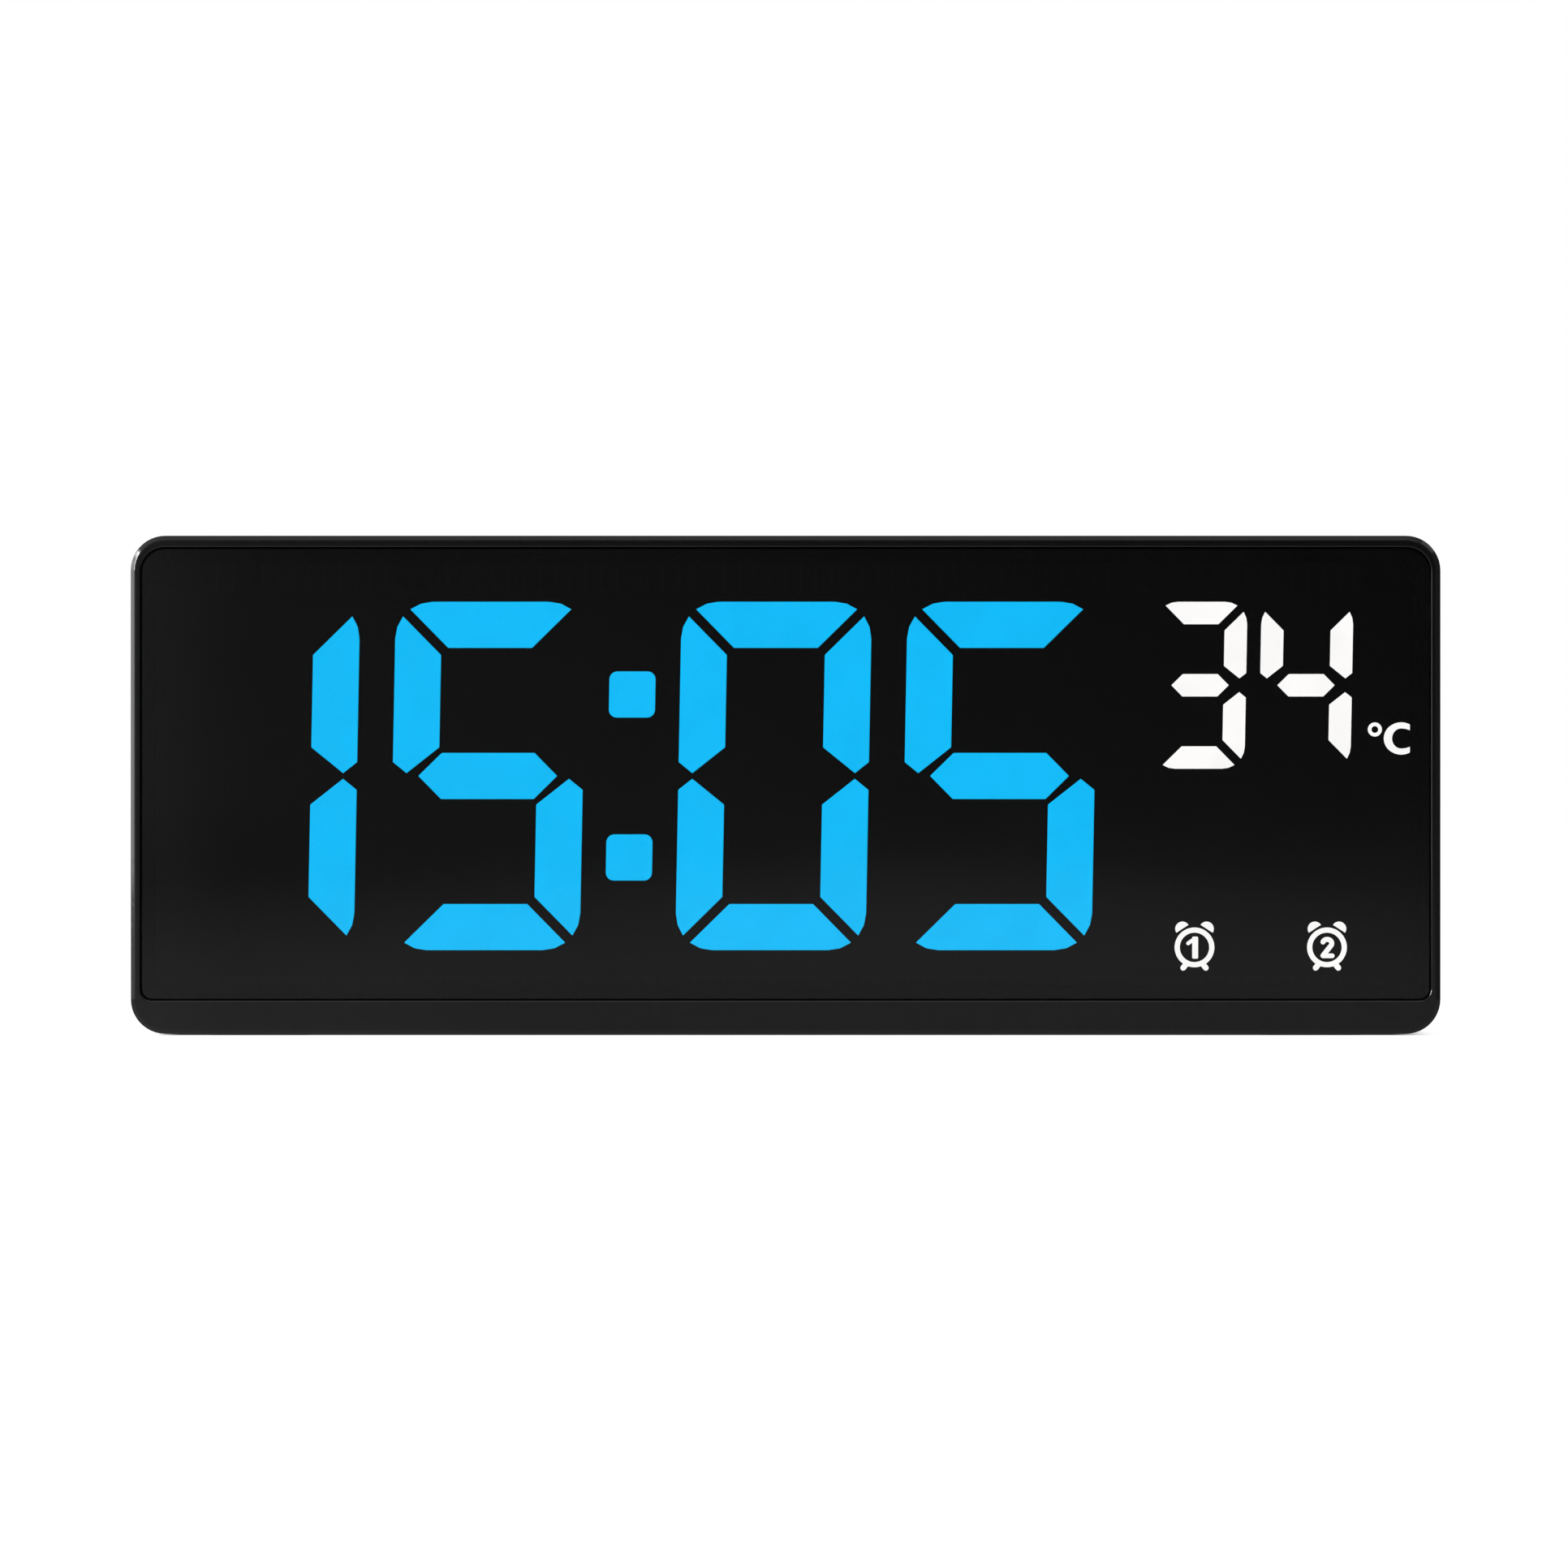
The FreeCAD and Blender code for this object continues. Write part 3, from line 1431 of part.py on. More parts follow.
def makeDoor():
    """The battery door: a plate flush with the back, finger ridges cut into it, a hook tab on
    its lower edge and a latch tongue on its upper one."""
    body = newBody("battery_door")
    sketch = newSketch(body, "XY_Plane", None)
    drawLoop(sketch, roundedBox(0, 0, doorLong, doorTall, S.doorCorner - S.doorGap))
    pad(body, sketch, S.doorThick)
    sketch = newSketch(body, "XY_Plane", S.doorThick)
    ridge = S.ridgeWide
    for step in range(ridgeCount):
        y = doorTall / 2 - S.doorLip - ridge * 2 * (step + 1)
        drawLoop(sketch, slotLoop(0, y, S.latchWidth, ridge))
    pocket(body, sketch, S.latchGripDepth)
    sketch = newSketch(body, "XY_Plane", None)
    for sign in (-1, 1):
        x = sign * bayLong * hookShare
        drawLoop(sketch, sharpBox(x, hookEdge(-1), S.latchWidth / 2, S.hookThick))
    drawLoop(sketch, sharpBox(0, hookEdge(1), S.latchWidth, S.hookThick))
    pad(body, sketch, S.hookLong, back=True)
    placeOnSlope(body, 0, bayMiddle, doorInner)
    keep(body)


ridgeCount = 5
hookShare = 0.25


def hookEdge(sign):
    """Where the tabs stand, just inside the bay's walls."""
    return sign * (bayTall / 2 - S.doorGap - S.hookThick / 2)


def makeCells():
    """Three cells side by side, turned about by turns, with a spring at each flat end and a
    plate at each raised end."""
    plates = []
    springs = []
    for index in range(cellCount):
        up = bayMiddle + cellStep * (index - 1)
        sign = 1 if index % 2 else -1
        body = newBody("battery_cell_%d" % (index + 1))
        sketch = newSketch(body, "XY_Plane", None)
        drawLoop(sketch, cellProfile())
        turn = body.newObject("PartDesign::Revolution", body.Label + "_turn")
        turn.Profile = sketch
        turn.ReferenceAxis = (sketch, ["H_Axis"])
        turn.Angle = 360
        cellShift = (S.springSpace - S.plateSpace) / 2
        placeOnSlope(body, sign * cellShift, up, cellOut, turned=sign > 0)
        keep(body)
        plate = doc.addObject("Part::Box", "contact_plate")
        plate.setExpression("Length", S.plateThick.text)
        plate.setExpression("Width", (S.cellRadius * 2 - S.cellGap).text)
        plate.setExpression("Height", (S.cellRadius * 2 - S.cellGap).text)
        plates.append(plate)
        spring = doc.addObject("Part::Prism", "battery_spring")
        spring.Polygon = pegSides
        spring.setExpression("Circumradius", S.springRadius.text)
        spring.setExpression("Height", (S.springSpace - S.plateThick).text)
        springs.append(spring)
        back = doc.addObject("Part::Box", "contact_plate")
        back.setExpression("Length", S.plateThick.text)
        back.setExpression("Width", (S.cellRadius * 2 - S.cellGap).text)
        back.setExpression("Height", (S.cellRadius * 2 - S.cellGap).text)
        plates.append(back)
        low = up - S.cellRadius + S.cellGap / 2
        deep = cellOut - S.cellRadius + S.cellGap / 2
        placeOnSlope(plate, sign * (bayLong / 2) + (0 if sign > 0 else S.plateThick), low, deep)
        placeOnSlope(back, -sign * (bayLong / 2) + (S.plateThick if sign > 0 else 0), low, deep)
        placeOnSlope(spring, -sign * (bayLong / 2 - S.plateThick), up, cellOut, tip=-quarterTurn * sign)
    for label, links in (("battery_contacts", plates), ("battery_springs", springs)):
        group = doc.addObject("Part::Compound", label)
        group.Links = links
        keep(group)


def cellProfile():
    """Half the section of a cell along X, with its raised end at the right."""
    half = S.cellLong / 2
    return [
        (-half, 0),
        (half, 0),
        (half, S.cellNipple),
        (half - S.nippleTall, S.cellNipple),
        (half - S.nippleTall, S.cellRadius),
        (-half, S.cellRadius),
    ]


def makeFeet():
    for row, y in (("front", frontFootY), ("back", backFootY)):
        for side, sign in (("left", -1), ("right", 1)):
            body = newBody("foot_%s_%s" % (row, side))
            sketch = newSketch(body, "XY_Plane", None)
            drawLoop(sketch, footLoop(sign * footAcross, y, 0))
            pad(body, sketch, S.footProud + S.footSink)
            roundEdges(body, "Chamfer", S.footChamfer, lambda edge, middle: near(middle.z, 0))
            keep(body)


makeFrontCase()
makeLens()
makeInserts()
makeBlock()
makeDisplayBoard()
makeLedChips()
makeBoardParts()
makeScrews("board_screws", postPlaces(boardScrewAcross), boardBack, S.boardScrewLong)
makeScrews("case_screws", postPlaces(caseScrewAcross), screwHeadY, S.screwLong)
makeRearCover()
makeButtons()
makeSlopeBoard(
    "button_board",
    boardOut,
    buttonBoardLong,
    S.buttonBoardWide,
    (0, buttonUp),
    buttonBoardScrews,
)
makeInlet()
makeCables()
makeSlopeScrews()
makeSounder()
makeDoor()
makeCells()
makeFeet()


def finish():
    """Checks every object, then writes each sub-part to its own file."""
    doc.recompute()
    for thing in doc.Objects:
        if any(word in thing.State for word in ("Invalid", "Error")):
            raise RuntimeError("%s failed to build" % thing.Label)
    os.makedirs("parts", exist_ok=True)
    for label, thing in subParts.items():
        shape = thing.Shape
        if shape.isNull() or not shape.isValid():
            raise RuntimeError("%s has no valid shape" % label)
        shape.exportStep("parts/%s.step" % label)
        print("%-22s solids %2d volume %10.2f" % (label, len(shape.Solids), shape.Volume))


finish()
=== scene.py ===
import json
import math

import bmesh
import bpy
import numpy as np
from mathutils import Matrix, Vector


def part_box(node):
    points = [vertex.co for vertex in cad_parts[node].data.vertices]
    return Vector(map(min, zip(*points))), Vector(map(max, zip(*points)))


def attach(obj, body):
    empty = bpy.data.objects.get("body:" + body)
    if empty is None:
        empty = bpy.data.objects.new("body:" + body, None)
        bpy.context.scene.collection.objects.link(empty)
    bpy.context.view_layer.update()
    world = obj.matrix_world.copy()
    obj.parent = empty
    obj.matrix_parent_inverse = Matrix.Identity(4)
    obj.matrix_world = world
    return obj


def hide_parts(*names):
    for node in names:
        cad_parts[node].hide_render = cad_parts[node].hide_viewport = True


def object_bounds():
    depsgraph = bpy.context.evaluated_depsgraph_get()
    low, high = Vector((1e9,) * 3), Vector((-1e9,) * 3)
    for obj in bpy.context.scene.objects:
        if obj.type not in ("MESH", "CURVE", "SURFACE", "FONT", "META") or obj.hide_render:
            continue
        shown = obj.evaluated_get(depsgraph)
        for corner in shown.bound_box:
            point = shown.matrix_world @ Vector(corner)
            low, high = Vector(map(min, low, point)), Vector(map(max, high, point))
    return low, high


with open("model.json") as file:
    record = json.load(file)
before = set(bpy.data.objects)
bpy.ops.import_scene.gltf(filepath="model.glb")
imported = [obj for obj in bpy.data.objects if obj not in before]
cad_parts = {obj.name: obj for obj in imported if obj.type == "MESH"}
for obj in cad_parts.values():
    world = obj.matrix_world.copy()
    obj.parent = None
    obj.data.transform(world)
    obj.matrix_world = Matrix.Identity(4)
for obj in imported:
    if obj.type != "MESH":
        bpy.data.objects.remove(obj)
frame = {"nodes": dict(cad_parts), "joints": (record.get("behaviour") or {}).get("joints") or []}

cadBox = [list(corner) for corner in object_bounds()]
mm = 0.001
leastRadius = 0.02 * mm    # corners that are drawn in stay at least this round
roundEnd = 0.01 * mm    # a round end's radius is this much under half its width
sharpEdge = math.radians(35)    # edges with a sharper turn aren't smoothed
print("frame loaded:", len(frame["nodes"]), "nodes")


# Directions. The back of the clock leans: its outward direction is the way the buttons come out.

press = next(joint for joint in frame["joints"] if joint["name"] == "set_press")
acrossLeft = np.array([-1.0, 0.0, 0.0])
outward = -np.array(press["axis"], float)
outward /= np.linalg.norm(outward)
upSlope = np.cross(outward, acrossLeft)
slopeAxes = np.stack([acrossLeft, upSlope, outward])    # rows: left, up the slope, outwards
frontAxes = np.array([[1.0, 0, 0], [0, 0, 1.0], [0, -1.0, 0]])    # rows: right, up, to the viewer
floorAxes = np.eye(3)


def nodePoints(node):
    mesh = frame["nodes"][node].data
    points = np.empty(len(mesh.vertices) * 3, np.float32)
    mesh.vertices.foreach_get("co", points)
    return points.reshape(-1, 3).astype(float)


def span(node):    # lowest and highest reach of a node along the back's three directions
    reach = nodePoints(node) @ slopeAxes.T
    return reach.min(axis=0), reach.max(axis=0)


def seat(node):    # the middle of a node's inner end, and its size along those directions
    low, high = span(node)
    return np.array([*((low + high) / 2)[:2], low[2]]) @ slopeAxes, high - low


# Forms. A form is an array of points with a list of face arrays.


def ringForm(rings, joined=False):
    # Loops of equal count are joined by quads. The end loops are closed by a point at their
    # middle, or joined to each other where the form is a closed tube.
    count, around = rings.shape[:2]
    grid = np.arange(count * around).reshape(count, around)
    beside = np.roll(grid, -1, axis=1)
    if joined:
        above, aboveBeside = np.roll(grid, -1, axis=0), np.roll(beside, -1, axis=0)
        quads = np.stack([grid, beside, aboveBeside, above], axis=-1).reshape(-1, 4)
        return rings.reshape(-1, 3), [quads]
    quads = np.stack([grid[:-1], beside[:-1], beside[1:], grid[1:]], axis=-1).reshape(-1, 4)
    low, high = np.full(around, count * around), np.full(around, count * around + 1)
    ends = [np.stack([beside[0], grid[0], low], -1), np.stack([grid[-1], beside[-1], high], -1)]
    middles = np.stack([rings[0].mean(axis=0), rings[-1].mean(axis=0)])
    return np.concatenate([rings.reshape(-1, 3), middles]), [quads] + ends


def placed(local, origin, axes):    # local coordinates along three directions, from an origin
    return np.asarray(origin, float) + np.asarray(local, float) @ axes


def boxLoop(long, wide, radius, count):
    # A box with round corners: a circle whose quarters are pushed apart to the box's size.
    turn = (np.arange(count) + 0.5) * (2 * math.pi / count)
    x = radius * np.cos(turn) + np.sign(np.cos(turn)) * (long / 2 - radius)
    y = radius * np.sin(turn) + np.sign(np.sin(turn)) * (wide / 2 - radius)
    return np.stack([x, y], axis=-1)


def loftForm(profile, long, wide, radius, count, origin, axes):
    # A box loop drawn in by each inset of the profile and lifted to its height.
    rings = []
    for inset, height in profile:
        corner = max(radius - inset, leastRadius)
        loop = boxLoop(long - 2 * inset, wide - 2 * inset, corner, count)
        rings.append(np.column_stack([loop, np.full(count, height)]))
    return ringForm(placed(np.stack(rings), origin, axes))


def turnedForm(along, radius, count, origin, axes):
    # A profile of distances along the third direction and radii, carried round it.
    turn = np.arange(count) * (2 * math.pi / count)
    x = np.outer(radius, np.cos(turn))
    y = np.outer(radius, np.sin(turn))
    z = np.repeat(np.asarray(along, float)[:, None], count, axis=1)
    return ringForm(placed(np.stack([x, y, z], axis=-1), origin, axes))


def arcProfile(startAlong, startRadius, endAlong, endRadius, steps, bulge):
    # A quarter ellipse from one profile point to the next. It leaves along the axis where bulge
    # is true, and square to the axis where it is not.
    turn = np.linspace(0, math.pi / 2, steps)
    rise, fall = np.sin(turn), 1 - np.cos(turn)
    if not bulge:
        rise, fall = fall, rise
    along = startAlong + (endAlong - startAlong) * rise
    return along, startRadius + (endRadius - startRadius) * fall


def plateForm(outline, low, high, origin, axes):
    # A flat plate: an outline, counterclockwise, between two heights.
    count = len(outline)
    floor = np.column_stack([outline, np.full(count, low)])
    roof = np.column_stack([outline, np.full(count, high)])
    index = np.arange(count)
    beside = np.roll(index, -1)
    walls = np.stack([index, beside, beside + count, index + count], axis=-1)
    faces = [walls, index[::-1][None, :], (index + count)[None, :]]
    return placed(np.concatenate([floor, roof]), origin, axes), faces


def bandForm(outer, inner, low, high, origin, axes):
    # A flat ring between two outlines of equal count and two heights.
    loops = [(outer, low), (outer, high), (inner, high), (inner, low)]
    rings = np.stack([np.column_stack([loop, np.full(len(loop), level)]) for loop, level in loops])
    return ringForm(placed(rings, origin, axes), joined=True)


def makePiece(name, forms, finish, body, nodes=()):
    # One mesh of several forms, with its faces turned outwards. It rides on a body, and hides
    # the nodes that it replaces.
    points, faces, start = [], [], 0
    for formPoints, faceSets in forms:
        for faceSet in faceSets:
            faces += (faceSet + start).tolist()
        points.append(formPoints)
        start += len(formPoints)
    mesh = bpy.data.meshes.new(name)
    mesh.from_pydata(np.concatenate(points).tolist(), [], faces)
    shell = bmesh.new()
    shell.from_mesh(mesh)
    bmesh.ops.recalc_face_normals(shell, faces=shell.faces)
    shell.to_mesh(mesh)
    shell.free()
    mesh.polygons.foreach_set("use_smooth", np.ones(len(mesh.polygons), bool))
    mesh.set_sharp_from_angle(angle=sharpEdge)
    mesh.materials.append(finishes[finish])
    piece = bpy.data.objects.new(name, mesh)
    bpy.context.scene.collection.objects.link(piece)
    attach(piece, body)
    if nodes:
        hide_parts(*nodes)


# Shader tools.


class Wire:    # an output socket: arithmetic on it adds Math nodes
    def __init__(self, shader, socket):
        self.shader, self.socket = shader, socket

    def math(self, operation, first, second):
        return self.shader.add("ShaderNodeMath", {"operation": operation}, {0: first, 1: second})

    def __add__(self, other):
        return self.math("ADD", self, other)

    def __sub__(self, other):
        return self.math("SUBTRACT", self, other)

    def __rsub__(self, other):
        return self.math("SUBTRACT", other, self)

    def __mul__(self, other):
        return self.math("MULTIPLY", self, other)

    def __truediv__(self, other):
        return self.math("DIVIDE", self, other)

    def __rtruediv__(self, other):
        return self.math("DIVIDE", other, self)

    def __neg__(self):
        return self * -1.0

    def __abs__(self):
        return self.shader.add("ShaderNodeMath", {"operation": "ABSOLUTE"}, {0: self})

    __radd__ = __add__
    __rmul__ = __mul__


class Shader:    # a node tree, filled by add
    def __init__(self, tree):
        self.tree = tree
        tree.nodes.clear()

    def add(self, kind, settings=None, inputs=None, output=0):
        node = self.tree.nodes.new(kind)
        for key, value in (settings or {}).items():
            setattr(node, key, value)
        for key, value in (inputs or {}).items():
            if isinstance(value, Wire):
                self.tree.links.new(value.socket, node.inputs[key])
            else:
                node.inputs[key].default_value = value
        return Wire(self, node.outputs[output]) if node.outputs else None

    def place(self):    # object coordinates
        return self.add("ShaderNodeTexCoord", output="Object")

    def noise(self, scale, detail=2.0, rough=0.5, where=None):
        return self.add("ShaderNodeTexNoise", {}, {
            "Vector": where or self.place(), "Scale": scale, "Detail": detail, "Roughness": rough})

    def band(self, value, low, high, bottom=0.0, top=1.0):    # a soft step from low to high
        settings = {"interpolation_type": "SMOOTHSTEP"}
        inputs = {0: value, 1: low, 2: high, 3: bottom, 4: top}
        return self.add("ShaderNodeMapRange", settings, inputs)

    def blend(self, mask, first, second):    # a colour that goes from first to second
        settings = {"data_type": "RGBA"}
        return self.add("ShaderNodeMix", settings, {0: mask, 6: first, 7: second}, output=2)

    def bump(self, height, strength, distance, **under):
        values = {"Height": height, "Strength": strength, "Distance": distance, **under}
        return self.add("ShaderNodeBump", {}, values)

    def split(self, vector, axis):
        return self.add("ShaderNodeSeparateXYZ", {}, {0: vector}, output=axis)


def grey(level):
    return (level, level, level, 1.0)


def principled(shader, inputs):
    return shader.add("ShaderNodeBsdfPrincipled", {}, inputs)


finishes = {}


def addFinish(name, build, **values):
    material = bpy.data.materials.new(name)
    material.use_nodes = True
    shader = Shader(material.node_tree)
    shader.add("ShaderNodeOutputMaterial", {}, {"Surface": build(shader, **values)})
    finishes[name] = material


# Finishes of the case. A noise is given by its scale, detail and roughness, a bump by its
# strength and height, and what shows of a noise by where it starts and where it is full.

polishedBlack = {
    "base": 0.0022,
    "lift": 0.0012,
    "rough": (0.05, 0.10),
    "specular": 0.5,
    "edge": 0.25 * mm,
    "edgeSamples": 8,
    "waves": (38.0, 1.0, 0.5),
    "waveBump": (0.05, 0.2 * mm),
    "marks": (900.0, 3.0, 0.6),
    "marksShow": (0.35, 0.75),
}


def glossyPlastic(shader):
    # Polished moulding: slow waves of the mould's polish and fine handling marks in the gloss.
    # The bevel node rounds the light on its edges, as polishing does.
    waves = shader.noise(*polishedBlack["waves"])
    marks = shader.noise(*polishedBlack["marks"])
    base, samples = polishedBlack["base"], polishedBlack["edgeSamples"]
    edge = shader.add("ShaderNodeBevel", {"samples": samples}, {"Radius": polishedBlack["edge"]})
    return principled(shader, {
        "Base Color": shader.blend(waves, grey(base), grey(base + polishedBlack["lift"])),
        "Roughness": shader.band(marks, *polishedBlack["marksShow"], *polishedBlack["rough"]),
        "Specular IOR Level": polishedBlack["specular"],
        "Normal": shader.bump(waves, *polishedBlack["waveBump"], Normal=edge),
    })


smokedPane = {
    "base": 0.0012,
    "rough": 0.035,
    "wiped": 1.6,
    "wipedRough": 1.5,
    "wipe": (60.0, 2.0, 0.6),
    "wipeShows": (0.3, 0.8),
    "alpha": 0.7,
    "specular": 0.66,
}


def lensPlastic(shader):
    # Smoked acrylic: it darkens what lies behind it and mirrors the room, a little duller and
    # paler where it was wiped.
    base, rough = smokedPane["base"], smokedPane["rough"]
    wipe = shader.noise(*smokedPane["wipe"])
    wipedRough = rough * smokedPane["wipedRough"]
    return principled(shader, {
        "Base Color": shader.blend(wipe, grey(base), grey(base * smokedPane["wiped"])),
        "Roughness": shader.band(wipe, *smokedPane["wipeShows"], rough, wipedRough),
        "Specular IOR Level": smokedPane["specular"],
        "Alpha": smokedPane["alpha"],
    })


grainedFinishes = {
    "grained_black": {"base": 0.012},
    "door_black": {"base": 0.0125},
    "key_black": {"base": 0.016, "rough": 0.42, "size": 5200.0, "bump": (0.3, 0.02 * mm)},
    "foot_rubber": {"base": 0.020, "rough": 0.8, "size": 1900.0, "bump": (0.5, 0.06 * mm)},
}
grained = {
    "fine": (2.0, 0.55),    # detail and roughness
    "coarse": (1.0, 0.5),
    "coarseSize": 0.4,    # its scale, as a share of the fine one's
    "coarseShare": 0.2,    # of the grain's height
    "patch": (45.0, 3.0, 0.6),
    "patchPaler": 1.5,
    "patchShare": 0.15,    # of what the gloss follows
    "topsShow": (0.4, 0.75),
    "duller": 0.1,    # between the tops
    "shinier": 0.08,    # on the tops
    "specular": 0.45,
}


def grainedPlastic(shader, base, rough=0.5, size=3600.0, bump=(0.4, 0.04 * mm)):
    # Spark-eroded moulding: a fine even grain with a coarser one under it, shinier on its tops.
    fine = shader.noise(size, *grained["fine"])
    coarse = shader.noise(size * grained["coarseSize"], *grained["coarse"])
    grain = fine * (1 - grained["coarseShare"]) + coarse * grained["coarseShare"]
    patch = shader.noise(*grained["patch"])
    gloss = shader.band(
        grain + patch * grained["patchShare"], *grained["topsShow"],
        rough + grained["duller"], rough - grained["shinier"])
    return principled(shader, {
        "Base Color": shader.blend(patch, grey(base), grey(base * grained["patchPaler"])),
        "Roughness": gloss,
        "Specular IOR Level": grained["specular"],
        "Normal": shader.bump(grain, *bump),
    })


addFinish("polished_black", glossyPlastic)
addFinish("smoked_lens", lensPlastic)
for name, values in grainedFinishes.items():
    addFinish(name, grainedPlastic, **values)


# Finishes of the display and the parts on the boards.

glow = {
    "blue": (0.0, 0.492, 0.930, 1.0),
    "white": (0.965, 0.955, 0.95, 1.0),
    "dimmest": 0.965,
    "cloud": (220.0, 1.0, 0.5),
    "cloudShows": (0.35, 0.65),
    "insert": (0.30, 0.34),    # the insert's own greys
    "rough": 0.5,
    "strength": 1.0 / (1 - smokedPane["alpha"]) ** 2,    # the light crosses both faces of the lens
}


def litInsert(shader, colour):
    # A diffusing insert lit from behind, a touch weaker in places.
    cloud = shader.noise(*glow["cloud"])
    dim = tuple(channel * glow["dimmest"] for channel in colour[:3]) + (1.0,)
    darker, paler = (grey(level) for level in glow["insert"])
    return principled(shader, {
        "Base Color": shader.blend(cloud, darker, paler),
        "Roughness": glow["rough"],
        "Emission Color": shader.blend(shader.band(cloud, *glow["cloudShows"]), dim, colour),
        "Emission Strength": glow["strength"],
    })


mattFinishes = {    # the mottle goes from low to high, times the tint
    "film_black": {"low": 0.0035, "high": 0.005, "rough": 0.7, "size": 700.0},
    "dark_insert": {"low": 0.004, "high": 0.0055, "rough": 0.6, "size": 500.0},
    "tape_black": {"low": 0.012, "high": 0.02, "rough": 0.85, "size": 3000.0},
    "block_white": {"low": 0.72, "high": 0.8, "rough": 0.45, "size": 400.0},
    "chip_black": {"low": 0.015, "high": 0.026, "rough": 0.6, "size": 4000.0},
    "sensor_black": {"low": 0.012, "high": 0.018, "rough": 0.35, "size": 900.0},
    "cell_band": {
        "low": 0.56, "high": 0.60, "rough": 0.37, "size": 2600.0, "bump": (0.08, 0.02 * mm)},
    "socket_white": {
        "low": 0.6, "high": 0.68, "rough": 0.5, "size": 800.0, "tint": (1, 0.98, 0.88)},
    "plunger_beige": {
        "low": 0.4, "high": 0.5, "rough": 0.5, "size": 900.0, "tint": (1, 0.95, 0.8)},
    "capacitor_tan": {
        "low": 0.36, "high": 0.46, "rough": 0.6, "size": 1500.0, "tint": (1, 0.7, 0.45)},
    "led_package": {
        "low": 0.6, "high": 0.75, "rough": 0.35, "size": 900.0, "tint": (1, 0.9, 0.45)},
}
matt = {
    "mottle": (3.0, 0.6),    # detail and roughness
    "mottleShows": (0.3, 0.7),
    "glossChange": 0.06,    # to each side
}


def plainMatt(shader, low, high, rough, size, bump=(0.15, 0.02 * mm), tint=(1, 1, 1)):
    # A matt surface with a slight mottle in its colour, its gloss and its height.
    mottle = shader.noise(size, *matt["mottle"])
    first = tuple(low * channel for channel in tint) + (1.0,)
    second = tuple(high * channel for channel in tint) + (1.0,)
    roughs = rough - matt["glossChange"], rough + matt["glossChange"]
    return principled(shader, {
        "Base Color": shader.blend(mottle, first, second),
        "Roughness": shader.band(mottle, *matt["mottleShows"], *roughs),
        "Normal": shader.bump(mottle, *bump),
    })


board = {
    "low": (0.008, 0.075, 0.032, 1),
    "high": (0.012, 0.105, 0.045, 1),
    "track": (0.02, 0.17, 0.07, 1),
    "trackSize": 260.0,
    "trackWide": 0.05,
    "trackOffset": 0.5,
    "trackBump": (0.3, 0.03 * mm),
    "mottle": (300.0, 2.0, 0.6),
    "mottleShows": (0.3, 0.7),
    "rough": (0.28, 0.42),
}


def boardGreen(shader):
    # Solder mask over copper tracks: a grid of fine lines shows through and stands up a little.
    place = shader.place()
    tracks = shader.add("ShaderNodeTexBrick", {"offset": board["trackOffset"]}, {
        "Vector": place, "Scale": board["trackSize"], "Mortar Size": board["trackWide"],
        "Color1": grey(0.0), "Color2": grey(0.0), "Mortar": grey(1.0)})
    mottle = shader.noise(*board["mottle"], place)
    base = shader.blend(mottle, board["low"], board["high"])
    return principled(shader, {
        "Base Color": shader.blend(tracks, base, board["track"]),
        "Roughness": shader.band(mottle, *board["mottleShows"], *board["rough"]),
        "Normal": shader.bump(tracks, *board["trackBump"]),
    })


flatCable = {
    "insulation": (0.62, 0.63, 0.64, 1),
    "conductor": (0.42, 0.40, 0.38, 1),
    "pitch": 1.0 * mm,
    "conductorShows": (-0.2, 0.6),    # of a wave from -1 to 1
    "rough": (0.42, 0.30),
    "bump": (0.5, 0.1 * mm),
}


def ribbon(shader):
    # Pale insulation with darker conductors side by side: a sine wave of the place along X.
    across = shader.split(shader.place(), 0)
    turn = across * (2 * math.pi / flatCable["pitch"])
    wave = shader.add("ShaderNodeMath", {"operation": "SINE"}, {0: turn})
    shade = shader.band(wave, *flatCable["conductorShows"])
    return principled(shader, {
        "Base Color": shader.blend(shade, flatCable["insulation"], flatCable["conductor"]),
        "Roughness": shader.band(shade, 0.0, 1.0, *flatCable["rough"]),
        "Normal": shader.bump(shade, *flatCable["bump"]),
    })


platedFinishes = {
    "zinc_screw": {"tone": (0.46, 0.46, 0.48, 1)},
    "drawn_steel": {"tone": (0.6, 0.6, 0.61, 1), "size": 900.0, "brushed": (1, 1, 0.2)},
    "nickel": {"tone": (0.62, 0.59, 0.54, 1)},
    "gold_plate": {"tone": (0.83, 0.6, 0.24, 1)},
}
plating = {
    "marks": (3.0, 0.65),    # detail and roughness
    "marksShow": (0.3, 0.75),
    "paler": 1.12,
    "duller": 0.14,
    "bump": (0.12, 0.02 * mm),
}


def plated(shader, tone, rough=0.29, size=1500.0, brushed=(1, 1, 1)):
    # Plated metal: fine marks, drawn out where it is brushed, in its tone, gloss and height. No
    # roughness here crosses 0.27, where the render's noise filter changes and leaves hard spots.
    stretch = shader.add("ShaderNodeMapping", {}, {"Vector": shader.place(), "Scale": brushed})
    marks = shader.noise(size, *plating["marks"], stretch)
    paler = tuple(min(1.0, channel * plating["paler"]) for channel in tone)
    return principled(shader, {
        "Base Color": shader.blend(marks, tone, paler),
        "Metallic": 1.0,
        "Roughness": shader.band(marks, *plating["marksShow"], rough, rough + plating["duller"]),
        "Normal": shader.bump(marks, *plating["bump"]),
    })


addFinish("lit_blue", litInsert, colour=glow["blue"])
addFinish("lit_white", litInsert, colour=glow["white"])
addFinish("circuit_board", boardGreen)
addFinish("cable_ribbon", ribbon)
for build, table in ((plainMatt, mattFinishes), (plated, platedFinishes)):
    for name, values in table.items():
        addFinish(name, build, **values)

